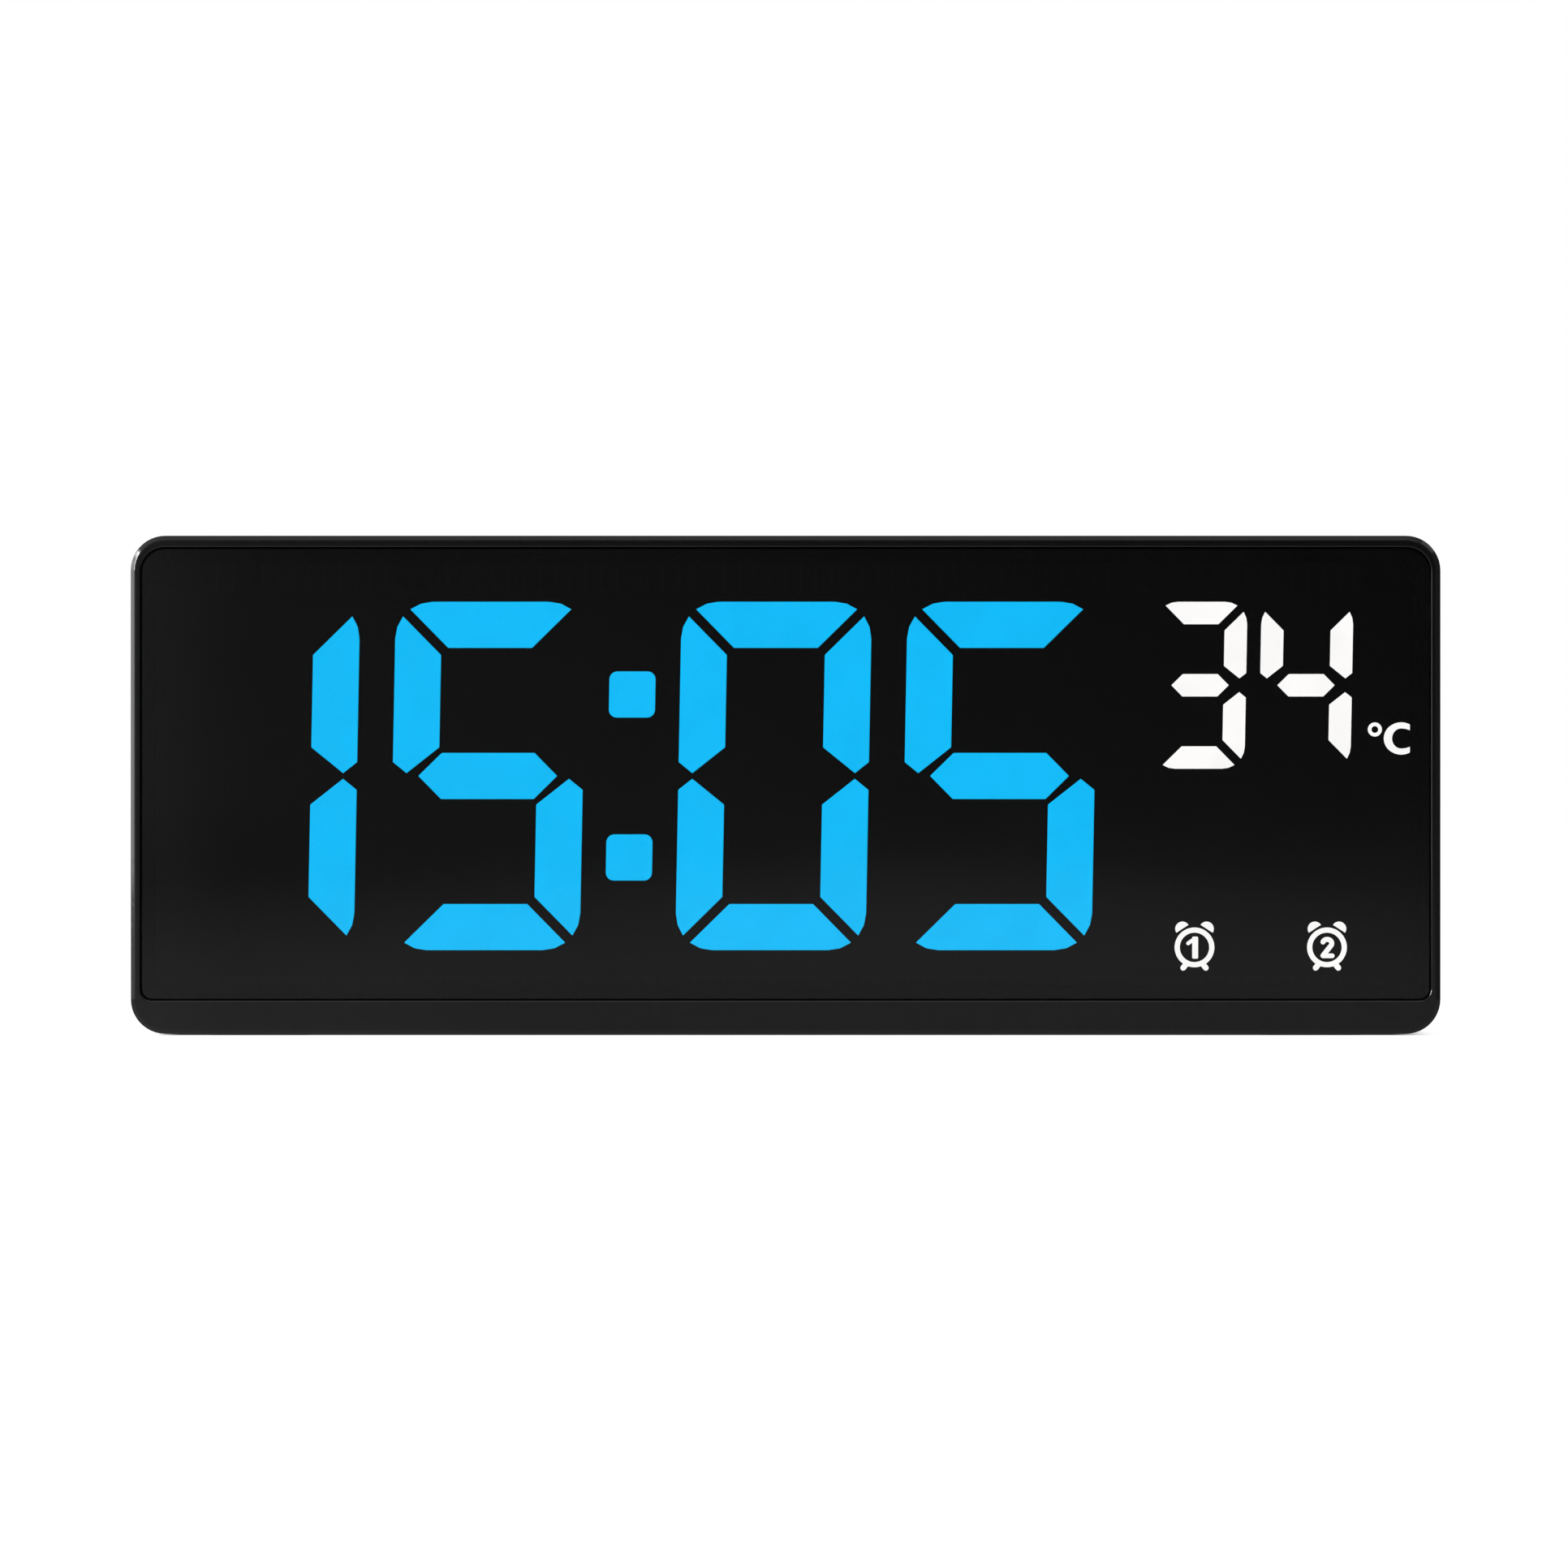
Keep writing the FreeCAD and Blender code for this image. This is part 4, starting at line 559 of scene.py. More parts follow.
nodeFinishes = {
    "front_case": "polished_black",
    "rear_cover": "grained_black",
    "battery_door": "door_black",
    "front_lens": "smoked_lens",
    "lens_tape": "tape_black",
    "display_film": "film_black",
    "reflector_block": "block_white",
    "hour_tens_lit": "lit_blue",
    "hour_units_lit": "lit_blue",
    "minute_tens_lit": "lit_blue",
    "minute_units_lit": "lit_blue",
    "colon_lit": "lit_blue",
    "temperature_tens_lit": "lit_white",
    "temperature_units_lit": "lit_white",
    "alarm_one_window": "dark_insert",
    "alarm_two_window": "dark_insert",
    "degree_window": "dark_insert",
    "dark_segments": "dark_insert",
    "display_board": "circuit_board",
    "button_board": "circuit_board",
    "inlet_board": "circuit_board",
    "led_chips": "led_package",
    "clock_chip": "chip_black",
    "driver_chip": "chip_black",
    "crystal": "drawn_steel",
    "capacitors": "capacitor_tan",
    "cable_sockets": "socket_white",
    "button_cable": "cable_ribbon",
    "inlet_cable": "cable_ribbon",
    "tact_switches": "drawn_steel",
    "sounder": "chip_black",
    "temperature_sensor": "sensor_black",
    "battery_contacts": "nickel",
}    # nodes that aren't named here get pieces of their own below
for name, node in frame["nodes"].items():
    node.data.materials.clear()
    node.data.materials.append(finishes[nodeFinishes.get(name, "plunger_beige")])
print("finishes made:", len(finishes))


# Lit signs, just in front of their dark windows.

signs = {
    "lift": 0.03 * mm,
    "gap": 0.005 * mm,    # to the window, and between the tops of forms that cross
    "ringOuter": 2.48 * mm,
    "ringInner": 1.83 * mm,
    "ringAround": 64,
    "bellRadius": 0.9 * mm,
    "bellAway": 2.76 * mm,
    "bellTurn": 33.0,    # degrees from upright
    "bellSteps": 25,
    "footStart": (1.05 * mm, -2.1 * mm),
    "footEnd": (1.41 * mm, -2.55 * mm),
    "footWide": 0.7 * mm,
    "capSteps": 9,    # round the end of a stroke
    "signDrop": (-0.04 * mm, -0.15 * mm),
    "degreeRing": (0.88 * mm, 0.42 * mm),
    "degreeAround": 40,
    "degreeShift": (-1.70 * mm, 1.19 * mm),
    "letterShift": (1.58 * mm, 0.07 * mm),
    "letterCut": 1.08 * mm,
    "letterOuter": (2.17 * mm, 2.01 * mm),
    "letterInner": (1.14 * mm, 1.87 * mm, 1.25 * mm),    # reach to the left, the right, upwards
    "letterSteps": 48,
}
numerals = {    # in millimetres from the sign's middle
    "flag": ((-0.80, 0.50), (0.02, 1.08)),
    "flagWide": 0.46,
    "stem": (0.74, 2.75),
    "stemCorner": 0.16,
    "stemAround": 32,
    "stemMiddle": (0.08, -0.03),
    "bowlMiddle": (0.03, 0.50),
    "bowlReach": (0.56, 0.50),
    "bowlTurn": (160, -38),    # degrees
    "bowlSteps": 26,
    "neckEnd": (-0.50, -1.02),
    "neckSteps": 8,
    "neckWide": 0.62,
    "base": ((-0.50, -1.05), (0.66, -1.05)),
    "baseWide": 0.58,
}


def circlePoints(turn):
    return np.stack([np.cos(turn), np.sin(turn)], axis=-1)


def circleLoop(radius, count):    # equal turns round a circle
    return radius * circlePoints(np.arange(count) * (2 * math.pi / count))


def strokeLoop(path, wide):
    # The outline of a stroke: the path moved to each side by half its width, with round ends.
    path = np.asarray(path, float)
    along = np.gradient(path, axis=0)
    along /= np.linalg.norm(along, axis=1)[:, None]
    side = np.stack([along[:, 1], -along[:, 0]], axis=-1) * (wide / 2)
    caps = []
    for point, heading in ((path[-1], along[-1]), (path[0], -along[0])):
        start = math.atan2(heading[1], heading[0])
        turn = start + np.linspace(-math.pi / 2, math.pi / 2, signs["capSteps"])[1:-1]
        caps.append(point + circlePoints(turn) * (wide / 2))
    return np.concatenate([path + side, caps[0], (path - side)[::-1], caps[1]])


def numeralOne():
    # A slanting stroke for the flag, on an upright box with round corners.
    flag = strokeLoop(np.array(numerals["flag"]) * mm, numerals["flagWide"] * mm)
    long, tall = numerals["stem"]
    stem = boxLoop(long * mm, tall * mm, numerals["stemCorner"] * mm, numerals["stemAround"])
    return [flag, stem + np.array(numerals["stemMiddle"]) * mm]


def numeralTwo():
    # A stroke along part of an ellipse and straight on down to the left, on a level stroke.
    turn = np.radians(np.linspace(*numerals["bowlTurn"], numerals["bowlSteps"]))
    bowl = np.array(numerals["bowlMiddle"]) + np.array(numerals["bowlReach"]) * circlePoints(turn)
    slant = np.linspace(bowl[-1], numerals["neckEnd"], numerals["neckSteps"])[1:]
    neck = strokeLoop(np.concatenate([bowl, slant]) * mm, numerals["neckWide"] * mm)
    base = strokeLoop(np.array(numerals["base"]) * mm, numerals["baseWide"] * mm)
    return [neck, base]


def letterC():
    # Two ellipses with a common middle, both cut off upright at the letter's right end. The
    # inner one reaches less far to the left than to the right.
    innerLeft, innerRight, innerTall = signs["letterInner"]
    steps = signs["letterSteps"]
    first = math.acos(signs["letterCut"] / signs["letterOuter"][0])
    turn = np.linspace(first, 2 * math.pi - first, steps)
    outside = np.array(signs["letterOuter"]) * circlePoints(turn)
    second = math.acos(signs["letterCut"] / innerRight)
    turn = np.linspace(2 * math.pi - second, second, steps)
    reach = np.where(np.cos(turn) > 0, innerRight, innerLeft)
    inside = np.stack([reach * np.cos(turn), innerTall * np.sin(turn)], axis=-1)
    return np.concatenate([outside, inside])


def windowMiddle(node, shift):
    low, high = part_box(node)
    return ((low.x + high.x) / 2 + shift[0], low.y, (low.z + high.z) / 2 + shift[1])


def makeAlarmSign(name, node, numeral):
    # A ring round the numeral, half a circle for each bell and a stroke for each foot.
    low, high = signs["gap"], signs["gap"] + signs["lift"]
    middle = windowMiddle(node, signs["signDrop"])
    around = signs["ringAround"]
    outer, inner = circleLoop(signs["ringOuter"], around), circleLoop(signs["ringInner"], around)
    forms = [bandForm(outer, inner, low, high, middle, frontAxes)]
    for side in (-1, 1):
        lean = math.radians(90 - side * signs["bellTurn"])
        turn = lean + np.linspace(-math.pi / 2, math.pi / 2, signs["bellSteps"])
        away = signs["bellAway"] * circlePoints(lean)
        bell = away + signs["bellRadius"] * circlePoints(turn)
        forms.append(plateForm(bell, low, high, middle, frontAxes))
        leg = np.array([signs["footStart"], signs["footEnd"]]) * np.array([side, 1])
        foot = strokeLoop(leg, signs["footWide"])
        forms.append(plateForm(foot, low, high - signs["gap"], middle, frontAxes))
    for layer, outline in enumerate(numeral()):
        forms.append(plateForm(outline, low, high - signs["gap"] * layer, middle, frontAxes))
    makePiece(name, forms, "lit_white", "case")


def makeDegreeSign():
    low, high = signs["gap"], signs["gap"] + signs["lift"]
    around = signs["degreeAround"]
    outer, inner = (circleLoop(radius, around) for radius in signs["degreeRing"])
    middle = windowMiddle("degree_window", signs["degreeShift"])
    ring = bandForm(outer, inner, low, high, middle, frontAxes)
    middle = windowMiddle("degree_window", signs["letterShift"])
    letter = plateForm(letterC(), low, high, middle, frontAxes)
    makePiece("degree_sign", [ring, letter], "lit_white", "case")


makeAlarmSign("alarm_sign_1", "alarm_one_window", numeralOne)
makeAlarmSign("alarm_sign_2", "alarm_two_window", numeralTwo)
makeDegreeSign()
print("signs made")


# Buttons: moulded caps on a flange, and the plunger under each.

keys = {
    "long": 9.0 * mm,
    "wide": 4.4 * mm,
    "flange": 0.7 * mm,
    "flangeThick": 0.8 * mm,
    "edge": 0.45 * mm,
    "edgeSteps": 8,
    "crown": 0.16 * mm,
    "crownSteps": 14,
    "crownEnd": 0.05 * mm,
    "around": 96,
    "stemEdge": 0.3 * mm,
    "stemSteps": 6,
    "stemAround": 40,
}


def capProfile(height):
    # Insets and heights from the bottom up: the flange, a quarter circle round the edge, and a
    # crown that rises to the middle as a parabola.
    flange, thick, edge = keys["flange"], keys["flangeThick"], keys["edge"]
    side = [(-flange, 0.0), (-flange, thick), (0.0, thick)]
    top = height - keys["crown"]
    turn = np.linspace(0, math.pi / 2, keys["edgeSteps"])
    rim = [(edge * (1 - math.cos(angle)), top - edge * (1 - math.sin(angle))) for angle in turn]
    inner = keys["wide"] / 2 - keys["crownEnd"]
    steps = np.linspace(edge, inner, keys["crownSteps"])[1:]
    rise = 1 - ((inner - steps) / (inner - edge)) ** 2
    crown = [(inset, top + keys["crown"] * lift) for inset, lift in zip(steps, rise)]
    return side + rim + crown


def makeKeys():
    for name in ("set", "up", "down", "alarm", "dimmer"):
        body = name + "_key"
        origin, size = seat(name + "_button")
        cap = loftForm(
            capProfile(size[2]), keys["long"], keys["wide"], keys["wide"] / 2 - roundEnd,
            keys["around"], origin, slopeAxes)
        makePiece(name + "_cap", [cap], "key_black", body, [name + "_button"])
        origin, size = seat(name + "_plunger")
        radius, tall, edge = size[0] / 2, size[2], keys["stemEdge"]
        along, radii = arcProfile(
            tall - edge, radius, tall, radius - edge, keys["stemSteps"], True)
        stem = turnedForm([0, *along], [radius, *radii], keys["stemAround"], origin, slopeAxes)
        makePiece(
            name + "_stem", [stem], "plunger_beige", body, [name + "_plunger"])


makeKeys()
print("keys made")


# Screws with a cross recess and a rolled thread.

screw = {
    "core": 0.84 * mm,
    "thread": 1.08 * mm,
    "pitch": 0.8 * mm,
    "pitchSteps": 9,
    "ridgeShare": 0.5,    # of the pitch
    "neck": 0.05 * mm,
    "point": 1.6 * mm,
    "pointShare": 0.25,
    "head": 1.74 * mm,
    "headTall": 1.36 * mm,
    "underShare": 0.999,    # of the head's radius, at its underside
    "lip": 0.45 * mm,
    "roundSteps": (0.0, 0.12, 0.3, 0.5, 0.68, 0.84, 0.95, 1.0),    # shares of a quarter turn
    "crown": 0.12 * mm,
    "crownSteps": 22,
    "crownShare": 0.62,    # of the head's radius
    "middleShare": 0.02,    # of the head's radius, at the last ring
    "recessShare": 0.6,    # of the head's radius
    "armWide": 0.27 * mm,
    "armEdge": 0.08 * mm,
    "armLong": 1.05 * mm,
    "armEnd": 0.25 * mm,
    "deep": 0.75 * mm,
    "shallower": 0.35,    # at the arms' ends
    "around": 72,
    "apart": 4.0 * mm,    # points further apart are on different screws
}


def screwForm(long, origin, axes):
    # Rings from the tip up. The shank is its core plus a helical ridge, a triangle wave of
    # height and turn, narrowed to a point. The head is a quarter ellipse and then a parabola,
    # whose points are pressed down where they lie within the arms of a cross.
    around, head = screw["around"], screw["head"]
    turn = np.arange(around) * (2 * math.pi / around)
    count = int(long / screw["pitch"] * screw["pitchSteps"])
    shank = np.linspace(-long, -screw["neck"], count)[:, None]
    phase = (shank / screw["pitch"] - turn / (2 * math.pi)) % 1.0
    ridge = np.clip(1 - np.abs(phase - 0.5) / (screw["ridgeShare"] / 2), 0, 1)
    taper = np.clip((shank + long) / screw["point"], screw["pointShare"], 1)
    radius = (screw["core"] + (screw["thread"] - screw["core"]) * ridge) * taper
    height = np.repeat(shank, around, axis=1)
    edge = np.array(screw["roundSteps"]) * (math.pi / 2)
    share, lip, shoulder = screw["crownShare"], screw["lip"], screw["headTall"] - screw["crown"]
    outer = head * (share + (1 - share) * np.cos(edge))
    headRadius = [screw["underShare"] * head, head, *outer]
    headHeight = [0.0, screw["neck"], *(lip + (shoulder - lip) * np.sin(edge))]
    inner = head * np.linspace(screw["recessShare"], screw["middleShare"], screw["crownSteps"])
    crown = screw["headTall"] - screw["crown"] * (inner / (share * head)) ** 2
    ringRadius = np.concatenate([headRadius, inner])[:, None]
    ringHeight = np.concatenate([headHeight, crown])[:, None]
    x, y = ringRadius * np.cos(turn), ringRadius * np.sin(turn)
    nearArm = np.minimum(np.abs(x), np.abs(y))
    arm = np.clip((screw["armWide"] - nearArm) / screw["armEdge"] + 0.5, 0, 1)
    reach = np.clip((screw["armLong"] - ringRadius) / screw["armEnd"], 0, 1)
    deep = screw["deep"] * (1 - screw["shallower"] * ringRadius / screw["armLong"])
    z = ringHeight - np.where(ringRadius <= screw["recessShare"] * head, arm * reach * deep, 0)
    shankRing = np.stack([radius * np.cos(turn), radius * np.sin(turn), height], axis=-1)
    rings = np.concatenate([shankRing, np.stack([x, y, z], axis=-1)])
    return ringForm(placed(rings, origin, axes))


def screwPlaces(node, axes):
    # The screws of a node stand apart, so those points that lie near the first one, across the
    # screws' direction, are one screw's. They give its middle there, and its tip and top along
    # it, and the same is done with the points that are left.
    points = nodePoints(node) @ axes.T
    places = []
    while len(points):
        own = np.linalg.norm(points[:, :2] - points[0, :2], axis=1) < screw["apart"]
        low, high = points[own].min(axis=0), points[own].max(axis=0)
        places.append(((low[:2] + high[:2]) / 2, low[2], high[2]))
        points = points[~own]
    return places


def makeScrews():
    backAxes = np.array([[-1.0, 0, 0], [0, 0, 1.0], [0, 1.0, 0]])    # rows: left, up, to the back
    inwardAxes = slopeAxes * np.array([[1.0], [-1.0], [-1.0]])
    directions = {
        "case_screws": backAxes, "board_screws": backAxes, "rear_board_screws": inwardAxes}
    for node, axes in directions.items():
        for number, (middle, tip, top) in enumerate(screwPlaces(node, axes), start=1):
            under = top - screw["headTall"]
            origin = np.array([middle[0], middle[1], under]) @ axes
            form = screwForm(under - tip, origin, axes)
            name = "%s_%d" % (node[:-1], number)
            makePiece(name, [form], "zinc_screw", "case", [node])


makeScrews()
print("screws made")


# Feet: rubber pads with round corners and a soft edge.

pads = {"radius": 2.2 * mm, "soft": 0.3 * mm, "softSteps": 6, "around": 72}


def makeFeet():
    turn = np.linspace(0, math.pi / 2, pads["softSteps"])
    soft = pads["soft"]
    edge = [(soft * (1 - math.sin(angle)), soft * (1 - math.cos(angle))) for angle in turn]
    for node in ("foot_front_left", "foot_front_right", "foot_back_left", "foot_back_right"):
        low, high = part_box(node)
        origin = ((low.x + high.x) / 2, (low.y + high.y) / 2, low.z)
        pad = loftForm(
            edge + [(0.0, high.z - low.z)], high.x - low.x, high.y - low.y, pads["radius"],
            pads["around"], origin, floorAxes)
        makePiece(node + "_pad", [pad], "foot_rubber", "case", [node])


makeFeet()
print("feet made")


# The power socket: a drawn shell, closed behind, round a tongue with its contacts.

usb = {
    "wall": 0.3 * mm,
    "lip": 0.1 * mm,
    "floor": 1.2 * mm,
    "around": 80,
    "easing": 0.3,    # where an edge's middle point lies, as a share of the edge
    "tongueLong": 6.6 * mm,
    "tongueThick": 0.7 * mm,
    "tongueShort": 0.7 * mm,
    "tongueEdge": 0.12 * mm,
    "tongueCorner": 0.15 * mm,
    "tongueSunk": 0.2 * mm,
    "tongueAround": 48,
    "pads": 8,
    "padWide": 0.28 * mm,
    "padLong": 2.4 * mm,
    "padThick": 0.04 * mm,
    "padPitch": 0.70125 * mm,
    "padAround": 12,
}


def makeSocket():
    origin, (long, wide, deep) = seat("usb_socket")
    wall, lip, floor, easing = usb["wall"], usb["lip"], usb["floor"], usb["easing"]
    ease = lip * easing
    profile = [    # up the outside, over the soft lip and down to the floor inside
        (0.0, 0.0), (0.0, deep - lip), (ease, deep - ease), (lip, deep),
        (wall - lip, deep), (wall - ease, deep - ease), (wall, deep - lip), (wall, floor),
    ]
    shell = loftForm(profile, long, wide, wide / 2 - roundEnd, usb["around"], origin, slopeAxes)
    makePiece("usb_shell", [shell], "drawn_steel", "case", ["usb_socket"])
    thick, end, edge = usb["tongueThick"], deep - usb["tongueShort"], usb["tongueEdge"]
    ease = edge * easing
    profile = [
        (0.0, floor - usb["tongueSunk"]), (0.0, end - edge), (ease, end - ease), (edge, end)]
    tongue = loftForm(
        profile, usb["tongueLong"], thick, usb["tongueCorner"], usb["tongueAround"],
        origin, slopeAxes)
    makePiece("usb_tongue", [tongue], "chip_black", "case", ["usb_socket"])
    contacts = []
    profile = [(0.0, 0.0), (0.0, usb["padLong"])]
    for side in (-1, 1):
        for step in range(usb["pads"]):
            across = (step - (usb["pads"] - 1) / 2) * usb["padPitch"]
            off = side * (thick / 2 + usb["padThick"] / 2)
            spot = origin + np.array([across, off, end - usb["padLong"] - 2 * edge]) @ slopeAxes
            contacts.append(loftForm(
                profile, usb["padWide"], usb["padThick"], leastRadius, usb["padAround"],
                spot, slopeAxes))
    makePiece("usb_contacts", contacts, "gold_plate", "case", ["usb_socket"])


makeSocket()
print("socket made")


# Cells with their sleeves, and the coil springs at their flat ends.

cell = {
    "around": 96,
    "flatIn": 1.5 * mm,    # the flat end stops this far inside the wall, and steps out from there
    "stepIn": 1.4 * mm,
    "stepTall": 0.06 * mm,
    "wallStart": 0.35 * mm,
    "shoulder": 0.5 * mm,
    "shoulderSteps": 7,
    "dish": 0.15 * mm,
    "dishWide": 0.8 * mm,
    "nipple": 1.9 * mm,
    "nippleTall": 0.9 * mm,
    "nippleEdge": 0.3 * mm,
    "nippleSteps": 5,
    "sleeve": 0.08 * mm,
    "cutDeep": 0.12 * mm,    # where the sleeve is cut square
    "roll": 0.55 * mm,
    "rollReach": 0.35 * mm,
    "rollProud": 0.02 * mm,
    "rollSteps": 9,
    "tuckStart": 0.12 * mm,
    "tuckStop": 0.10 * mm,
    "tuckIn": 0.05 * mm,
    "bandShare": 0.62,
    "streaks": (320.0, 1.0, 0.5),
    "streakStretch": (0.15, 1, 1),
    "peel": (2600.0, 1.0, 0.5),
    "peelShows": (0.3, 0.7),
    "peelBump": (0.1, 0.02 * mm),
    "rough": (0.30, 0.40),
    "low": (0.048, 0.068, 0.105, 1),
    "high": (0.056, 0.080, 0.122, 1),
}
spring = {
    "wire": 0.26 * mm,
    "wide": 3.1 * mm,
    "narrow": 1.9 * mm,
    "turns": 4.5,
    "flatTurns": 0.8,
    "steps": 30,
    "around": 12,
}


def sleeveFinish(shader):
    # Shrink film: plain slate with faint streaks along the cell, and a fine orange peel.
    place = shader.place()
    stretch = shader.add(
        "ShaderNodeMapping", {}, {"Vector": place, "Scale": cell["streakStretch"]})
    streaks = shader.noise(*cell["streaks"], stretch)
    peel = shader.noise(*cell["peel"], place)
    return principled(shader, {
        "Base Color": shader.blend(streaks, cell["low"], cell["high"]),
        "Roughness": shader.band(peel, *cell["peelShows"], *cell["rough"]),
        "Normal": shader.bump(peel, *cell["peelBump"]),
    })


addFinish("cell_sleeve", sleeveFinish)


def canForm(half, inner, origin, axes):
    # The steel can: a flat end, a straight wall, a rolled shoulder, a dish and the raised tip.
    shoulder, roll, tip = half - cell["nippleTall"], cell["shoulder"], cell["nipple"]
    rollAlong, rollRadius = arcProfile(
        shoulder - roll, inner, shoulder, inner - roll, cell["shoulderSteps"], True)
    edge = cell["nippleEdge"]
    tipAlong, tipRadius = arcProfile(half - edge, tip, half, tip - edge, cell["nippleSteps"], True)
    along = [
        -half, cell["stepTall"] - half, cell["wallStart"] - half, *rollAlong,
        shoulder - cell["dish"], shoulder, *tipAlong]
    radii = [
        inner - cell["flatIn"], inner - cell["stepIn"], inner, *rollRadius,
        tip + cell["dishWide"], tip, *tipRadius]
    return turnedForm(along, radii, cell["around"], origin, axes)


def wrapForm(start, stop, radius, startRolled, stopRolled, origin, axes):
    # Shrink film round the can. At an end it is rolled over by a quarter ellipse and tucked in,
    # and where two meet it is cut square.
    roll, proud, tuckIn, cut = cell["roll"], cell["rollProud"], cell["tuckIn"], cell["cutDeep"]
    within, steps = radius - roll - cell["rollReach"], cell["rollSteps"]
    along, radii = [start, start], [radius - cut, radius]
    if startRolled:
        curve = arcProfile(start + proud, within, start + roll, radius, steps, False)
        along, radii = [start + cell["tuckStart"], *curve[0]], [within - tuckIn, *curve[1]]
    if stopRolled:
        curve = arcProfile(stop - roll, radius, stop + proud, within, steps, True)
        along = [*along, *curve[0], stop - cell["tuckStop"]]
        radii = [*radii, *curve[1], within - tuckIn]
    else:
        along, radii = [*along, stop, stop], [*radii, radius, radius - cut]
    return turnedForm(along, radii, cell["around"], origin, axes)


def makeCells():
    for number in (1, 2, 3):
        node = "battery_cell_%d" % number
        toward = 1.0 if number == 2 else -1.0    # the raised ends point left and right by turns
        axes = np.stack([upSlope, outward * toward, np.array([toward, 0.0, 0.0])])
        low, high = span(node)
        radius = (high[1] - low[1]) / 2
        half = (high[0] - low[0]) / 2
        origin = ((low + high) / 2) @ slopeAxes
        can = canForm(half, radius - cell["sleeve"], origin, axes)
        makePiece(node + "_can", [can], "nickel", "case", [node])
        shoulder, bandStart = half - cell["nippleTall"], half * cell["bandShare"]
        sleeve = wrapForm(-half, bandStart, radius, True, False, origin, axes)
        makePiece(node + "_sleeve", [sleeve], "cell_sleeve", "case", [node])
        band = wrapForm(bandStart, shoulder, radius, False, True, origin, axes)
        makePiece(node + "_band", [band], "cell_band", "case", [node])
        makeSpring("cell_spring_%d" % number, origin, toward, half, axes)


def makeSpring(name, origin, toward, half, axes):
    # A wire carried along a cone's helix, with a flat turn at each end. The wire's own circle is
    # drawn in the plane of the cone's radius and axis.
    low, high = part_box("battery_springs")
    plate = (low.x if toward > 0 else high.x) - origin[0]
    start, end = plate * toward + spring["wire"], -half - spring["wire"]
    turns, flat = spring["turns"], spring["flatTurns"]
    turn = np.linspace(0, turns * 2 * math.pi, int(turns * spring["steps"]))
    part = np.clip((turn / (2 * math.pi) - flat) / (turns - 2 * flat), 0, 1)
    radius = spring["wide"] + (spring["narrow"] - spring["wide"]) * part
    along = start + (end - start) * part
    wireTurn = np.arange(spring["around"]) * (2 * math.pi / spring["around"])
    reach = radius[:, None] + spring["wire"] * np.cos(wireTurn)
    x = reach * np.cos(turn)[:, None]
    y = reach * np.sin(turn)[:, None]
    z = along[:, None] + spring["wire"] * np.sin(wireTurn)
    form = ringForm(placed(np.stack([x, y, z], axis=-1), origin, axes))
    makePiece(name, [form], "nickel", "case", ["battery_springs"])


makeCells()
print("cells made")


# Floor, camera and light.

stage = {
    "distance": 1.6,    # from the camera to the case's front, in metres
    "viewWide": 195.1 * mm,    # what the camera sees of that plane
    "cameraX": -0.2 * mm,
    "cameraZ": 31.3 * mm,
    "sensor": 36.0,    # in millimetres, as the camera counts it
    "farClip": 50.0,
    "floorSize": 12.0,
    "floorDiffuse": 0.8,
    "floorPaler": 0.02,
    "mottle": (6.0, 2.0, 0.5),
    "floorOwn": 0.86,    # the share of its plain pale look that the camera sees
    "floorGlow": 1.12,
    # painted reflection: the floor's levels as the polished case mirrors it, and where they change
    "fade": (-5.0, -1.1),    # where the mirrored floor starts and ends to rise, in metres
    "paintedReflectionFar": 0.12,
    "paintedReflectionNear": 0.33,
    "paintedReflectionLeft": 0.12,
    "leftEdge": (0.02, 0.080),
    "paintedReflectionSides": ((0.068, 0.080, 0.09), (0.12, 0.22, 0.65)),    # start, stop, added level
    "fadeMiddle": 0.015,
    "fadeSpread": 24.0,
    # painted shade under the clock: how far in from its outline the floor's glow fades out
    "paintedShadeFade": 6.0 * mm,
}


def paintedShadeUnderClock(shader):    # painted shade mask: one under the clock, falling to nothing at its outline
    within = [cadBox[1][axis] - abs(shader.split(shader.place(), axis)) for axis in (0, 1)]
    alongside, behind = (shader.band(inside, 0.0, stage["paintedShadeFade"]) for inside in within)
    return alongside * behind


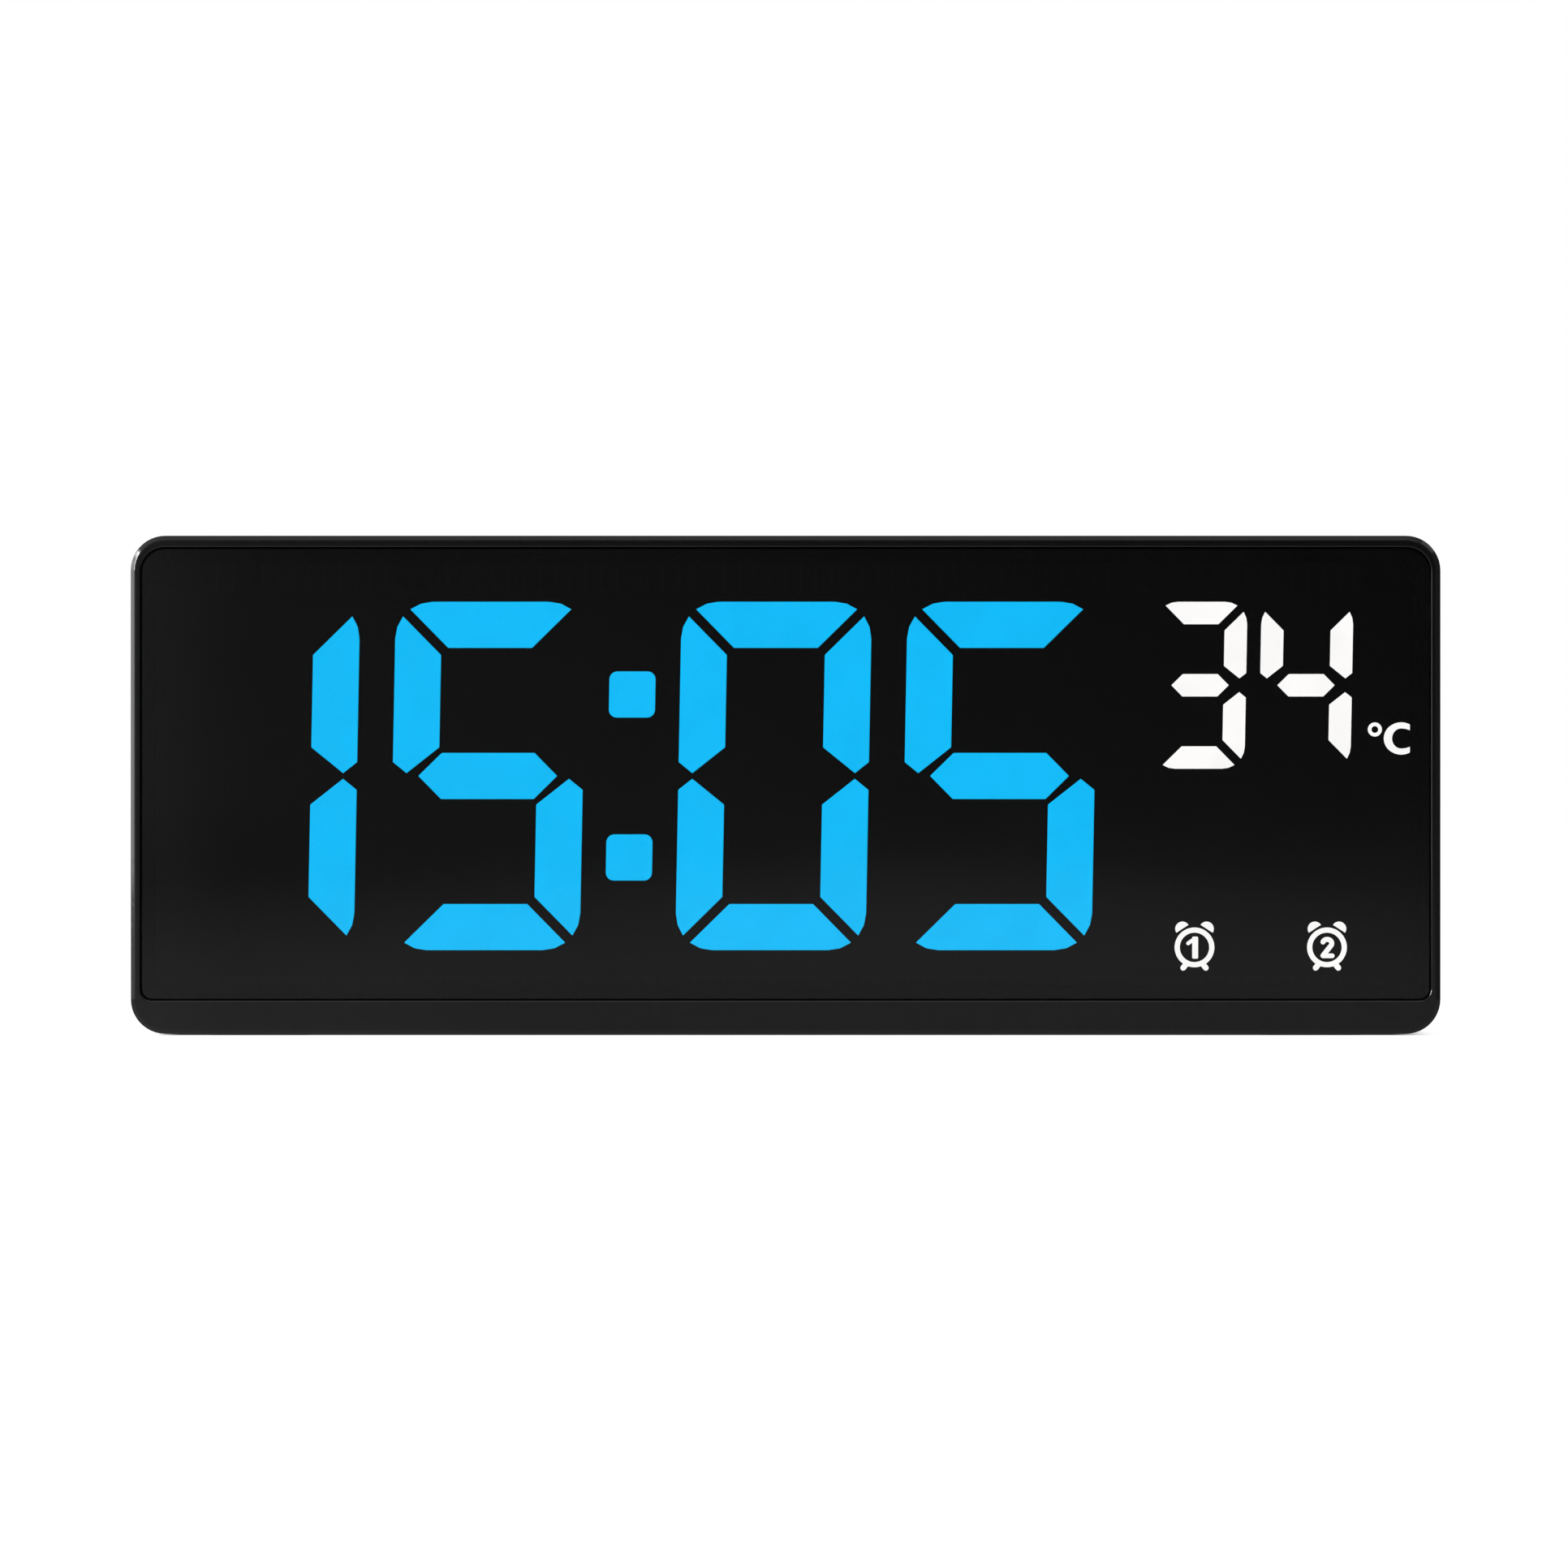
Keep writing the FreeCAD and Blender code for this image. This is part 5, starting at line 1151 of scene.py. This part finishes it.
def floorFinish(shader):
    # A pale sheet that the camera sees nearly white, with a share of its lit look for the shadow.
    # Mirrored in the polished case it shows a painted reflection instead: a glow set by place,
    # dimmer, that fades into the room's dark further off, sooner at the sides. The painted
    # reflection's left is lifted near the clock, and in two steps further out. Here across is
    # where the mirrored point shows on the clock's front. Under the clock its glow is cut away, a
    # painted shade shaped to the clock's outline, so the narrow gap there shows only its lit look,
    # in real shadow.
    pale = stage["floorDiffuse"]
    mottle = shader.noise(*stage["mottle"])
    lit = shader.add("ShaderNodeBsdfDiffuse", {}, {
        "Color": shader.blend(mottle, grey(pale), grey(pale + stage["floorPaler"]))})
    own = shader.add("ShaderNodeEmission", {}, {
        "Color": grey(1.0), "Strength": stage["floorGlow"]})
    across, ahead = (shader.split(shader.place(), axis) for axis in (0, 1))
    across = across * stage["distance"] / (stage["distance"] - ahead)
    near = ahead - abs(across - stage["fadeMiddle"]) * stage["fadeSpread"]
    rise = shader.band(near, *stage["fade"])
    left = -across
    lift = shader.band(left, *stage["leftEdge"]) * stage["paintedReflectionLeft"]
    level = (stage["paintedReflectionNear"] - stage["paintedReflectionFar"] + lift) * rise + stage["paintedReflectionFar"]
    for start, stop, further in stage["paintedReflectionSides"]:
        level = level + shader.band(left, start, stop) * further
    # painted reflection: the floor's glow in the polished case, laid out by place
    paintedReflection = shader.add("ShaderNodeEmission", {}, {
        "Color": shader.blend(level, grey(0.0), grey(1.0)), "Strength": 1.0})
    glossy = shader.add("ShaderNodeLightPath", output="Is Glossy Ray")
    seen = shader.add("ShaderNodeLightPath", output="Is Camera Ray")
    unseen = shader.add("ShaderNodeMixShader", {}, {0: glossy, 1: lit, 2: paintedReflection})
    # painted shade: the floor's glow is cut away under the clock, so its real shadow shows there
    share = seen * stage["floorOwn"] * (1.0 - paintedShadeUnderClock(shader))
    return shader.add("ShaderNodeMixShader", {}, {0: share, 1: unseen, 2: own})


def makeStage():
    half = stage["floorSize"] / 2
    corners = [(-half, -half, 0.0), (half, -half, 0.0), (half, half, 0.0), (-half, half, 0.0)]
    mesh = bpy.data.meshes.new("floor")
    mesh.from_pydata(corners, [], [[0, 1, 2, 3]])
    addFinish("floor_sheet", floorFinish)
    mesh.materials.append(finishes["floor_sheet"])
    floor = bpy.data.objects.new("floor", mesh)
    bpy.context.scene.collection.objects.link(floor)
    lens = bpy.data.cameras.new("camera")
    lens.sensor_width = stage["sensor"]
    lens.lens = stage["sensor"] * stage["distance"] / stage["viewWide"]
    lens.clip_end = stage["farClip"]
    camera = bpy.data.objects.new("camera", lens)
    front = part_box("front_case")[0].y
    camera.location = (stage["cameraX"], front - stage["distance"], stage["cameraZ"])
    camera.rotation_euler = (math.pi / 2, 0, 0)
    bpy.context.scene.collection.objects.link(camera)
    bpy.context.scene.camera = camera


room = {
    "level": 0.52,
    "leftLift": 0.40,
    "backShade": 0.85,    # how much darker it is high behind the clock
    "behind": (0.15, 0.6),
    "high": (0.15, 0.45),
    "card": 0.11,
    "cardEdge": (0.90, 0.985),
    "cardLeft": 0.8,
    "cardDown": 1.5,
    "cardLow": 0.05,
    "cardHigh": 0.4,
    "cardSide": (0.0450, 0.0505),
    "cardSideLift": 0.15,
}


def makeRoom():
    # The room round the clock, by direction: pale, brighter at the left and shaded high behind
    # the clock, with a dark soft-edged card behind the camera that is lighter towards its left
    # and its foot. The camera and clear parts see it white.
    world = bpy.data.worlds.new("room")
    bpy.context.scene.world = world
    world.use_nodes = True
    shader = Shader(world.node_tree)
    way = shader.add("ShaderNodeTexCoord", output="Generated")
    across, ahead, up = (shader.split(way, axis) for axis in range(3))
    card = room["card"] - across * room["cardLeft"] - up * room["cardDown"]
    card = card + shader.band(-across, *room["cardSide"]) * room["cardSideLift"]
    card = shader.add("ShaderNodeClamp", {}, {0: card, 1: room["cardLow"], 2: room["cardHigh"]})
    behind = shader.band(ahead, *room["behind"]) * shader.band(up, *room["high"])
    around = (room["level"] - across * room["leftLift"]) * (1.0 - behind * room["backShade"])
    mask = shader.band(-ahead, *room["cardEdge"])
    level = around + (card - around) * mask
    camera = shader.add("ShaderNodeLightPath", output="Is Camera Ray")
    clear = shader.add("ShaderNodeLightPath", output="Is Transmission Ray")
    seen = shader.add("ShaderNodeMath", {"operation": "MAXIMUM"}, {0: camera, 1: clear})
    strength = level + (1.0 - level) * seen
    surface = shader.add("ShaderNodeBackground", {}, {"Color": grey(1.0), "Strength": strength})
    shader.add("ShaderNodeOutputWorld", {}, {"Surface": surface})


lampAim = (0.0, 0.0, 0.03)
lamps = {
    "corner": {"at": (-0.73, -0.12, 0.28), "size": (0.26, 0.40), "radiance": 36.0},
    "left": {"at": (-0.75, 0.0, 0.265), "size": (0.50, 0.53), "radiance": 2.5},
    "front": {"at": (0.1, -0.9, 1.1), "size": (0.8, 0.6), "radiance": 1.6},
    "back": {"at": (1.1, 1.0, 0.8), "size": (0.8, 0.6), "radiance": 2.6},
    "backLeft": {"at": (-0.9, 1.2, 0.7), "size": (0.6, 0.6), "radiance": 1.6},
    "right": {"at": (0.85, 0.05, 0.85), "size": (0.5, 0.5), "radiance": 0.6},
}


def makeLamps():    # each faces the aim, and its radiance times its area gives its energy
    for name, lamp in lamps.items():
        light = bpy.data.lights.new(name, "AREA")
        light.shape = "RECTANGLE"
        light.size, light.size_y = lamp["size"]
        light.energy = lamp["radiance"] * light.size * light.size_y * math.pi
        holder = bpy.data.objects.new(name, light)
        holder.location = lamp["at"]
        way = np.array(lampAim) - np.array(lamp["at"])
        tilt = math.pi / 2 + math.atan2(way[2], math.hypot(way[0], way[1]))
        holder.rotation_euler = (tilt, 0, math.atan2(-way[0], way[1]))
        bpy.context.scene.collection.objects.link(holder)


makeStage()
makeRoom()
makeLamps()
bpy.context.scene.view_settings.view_transform = "Standard"
print("stage set")
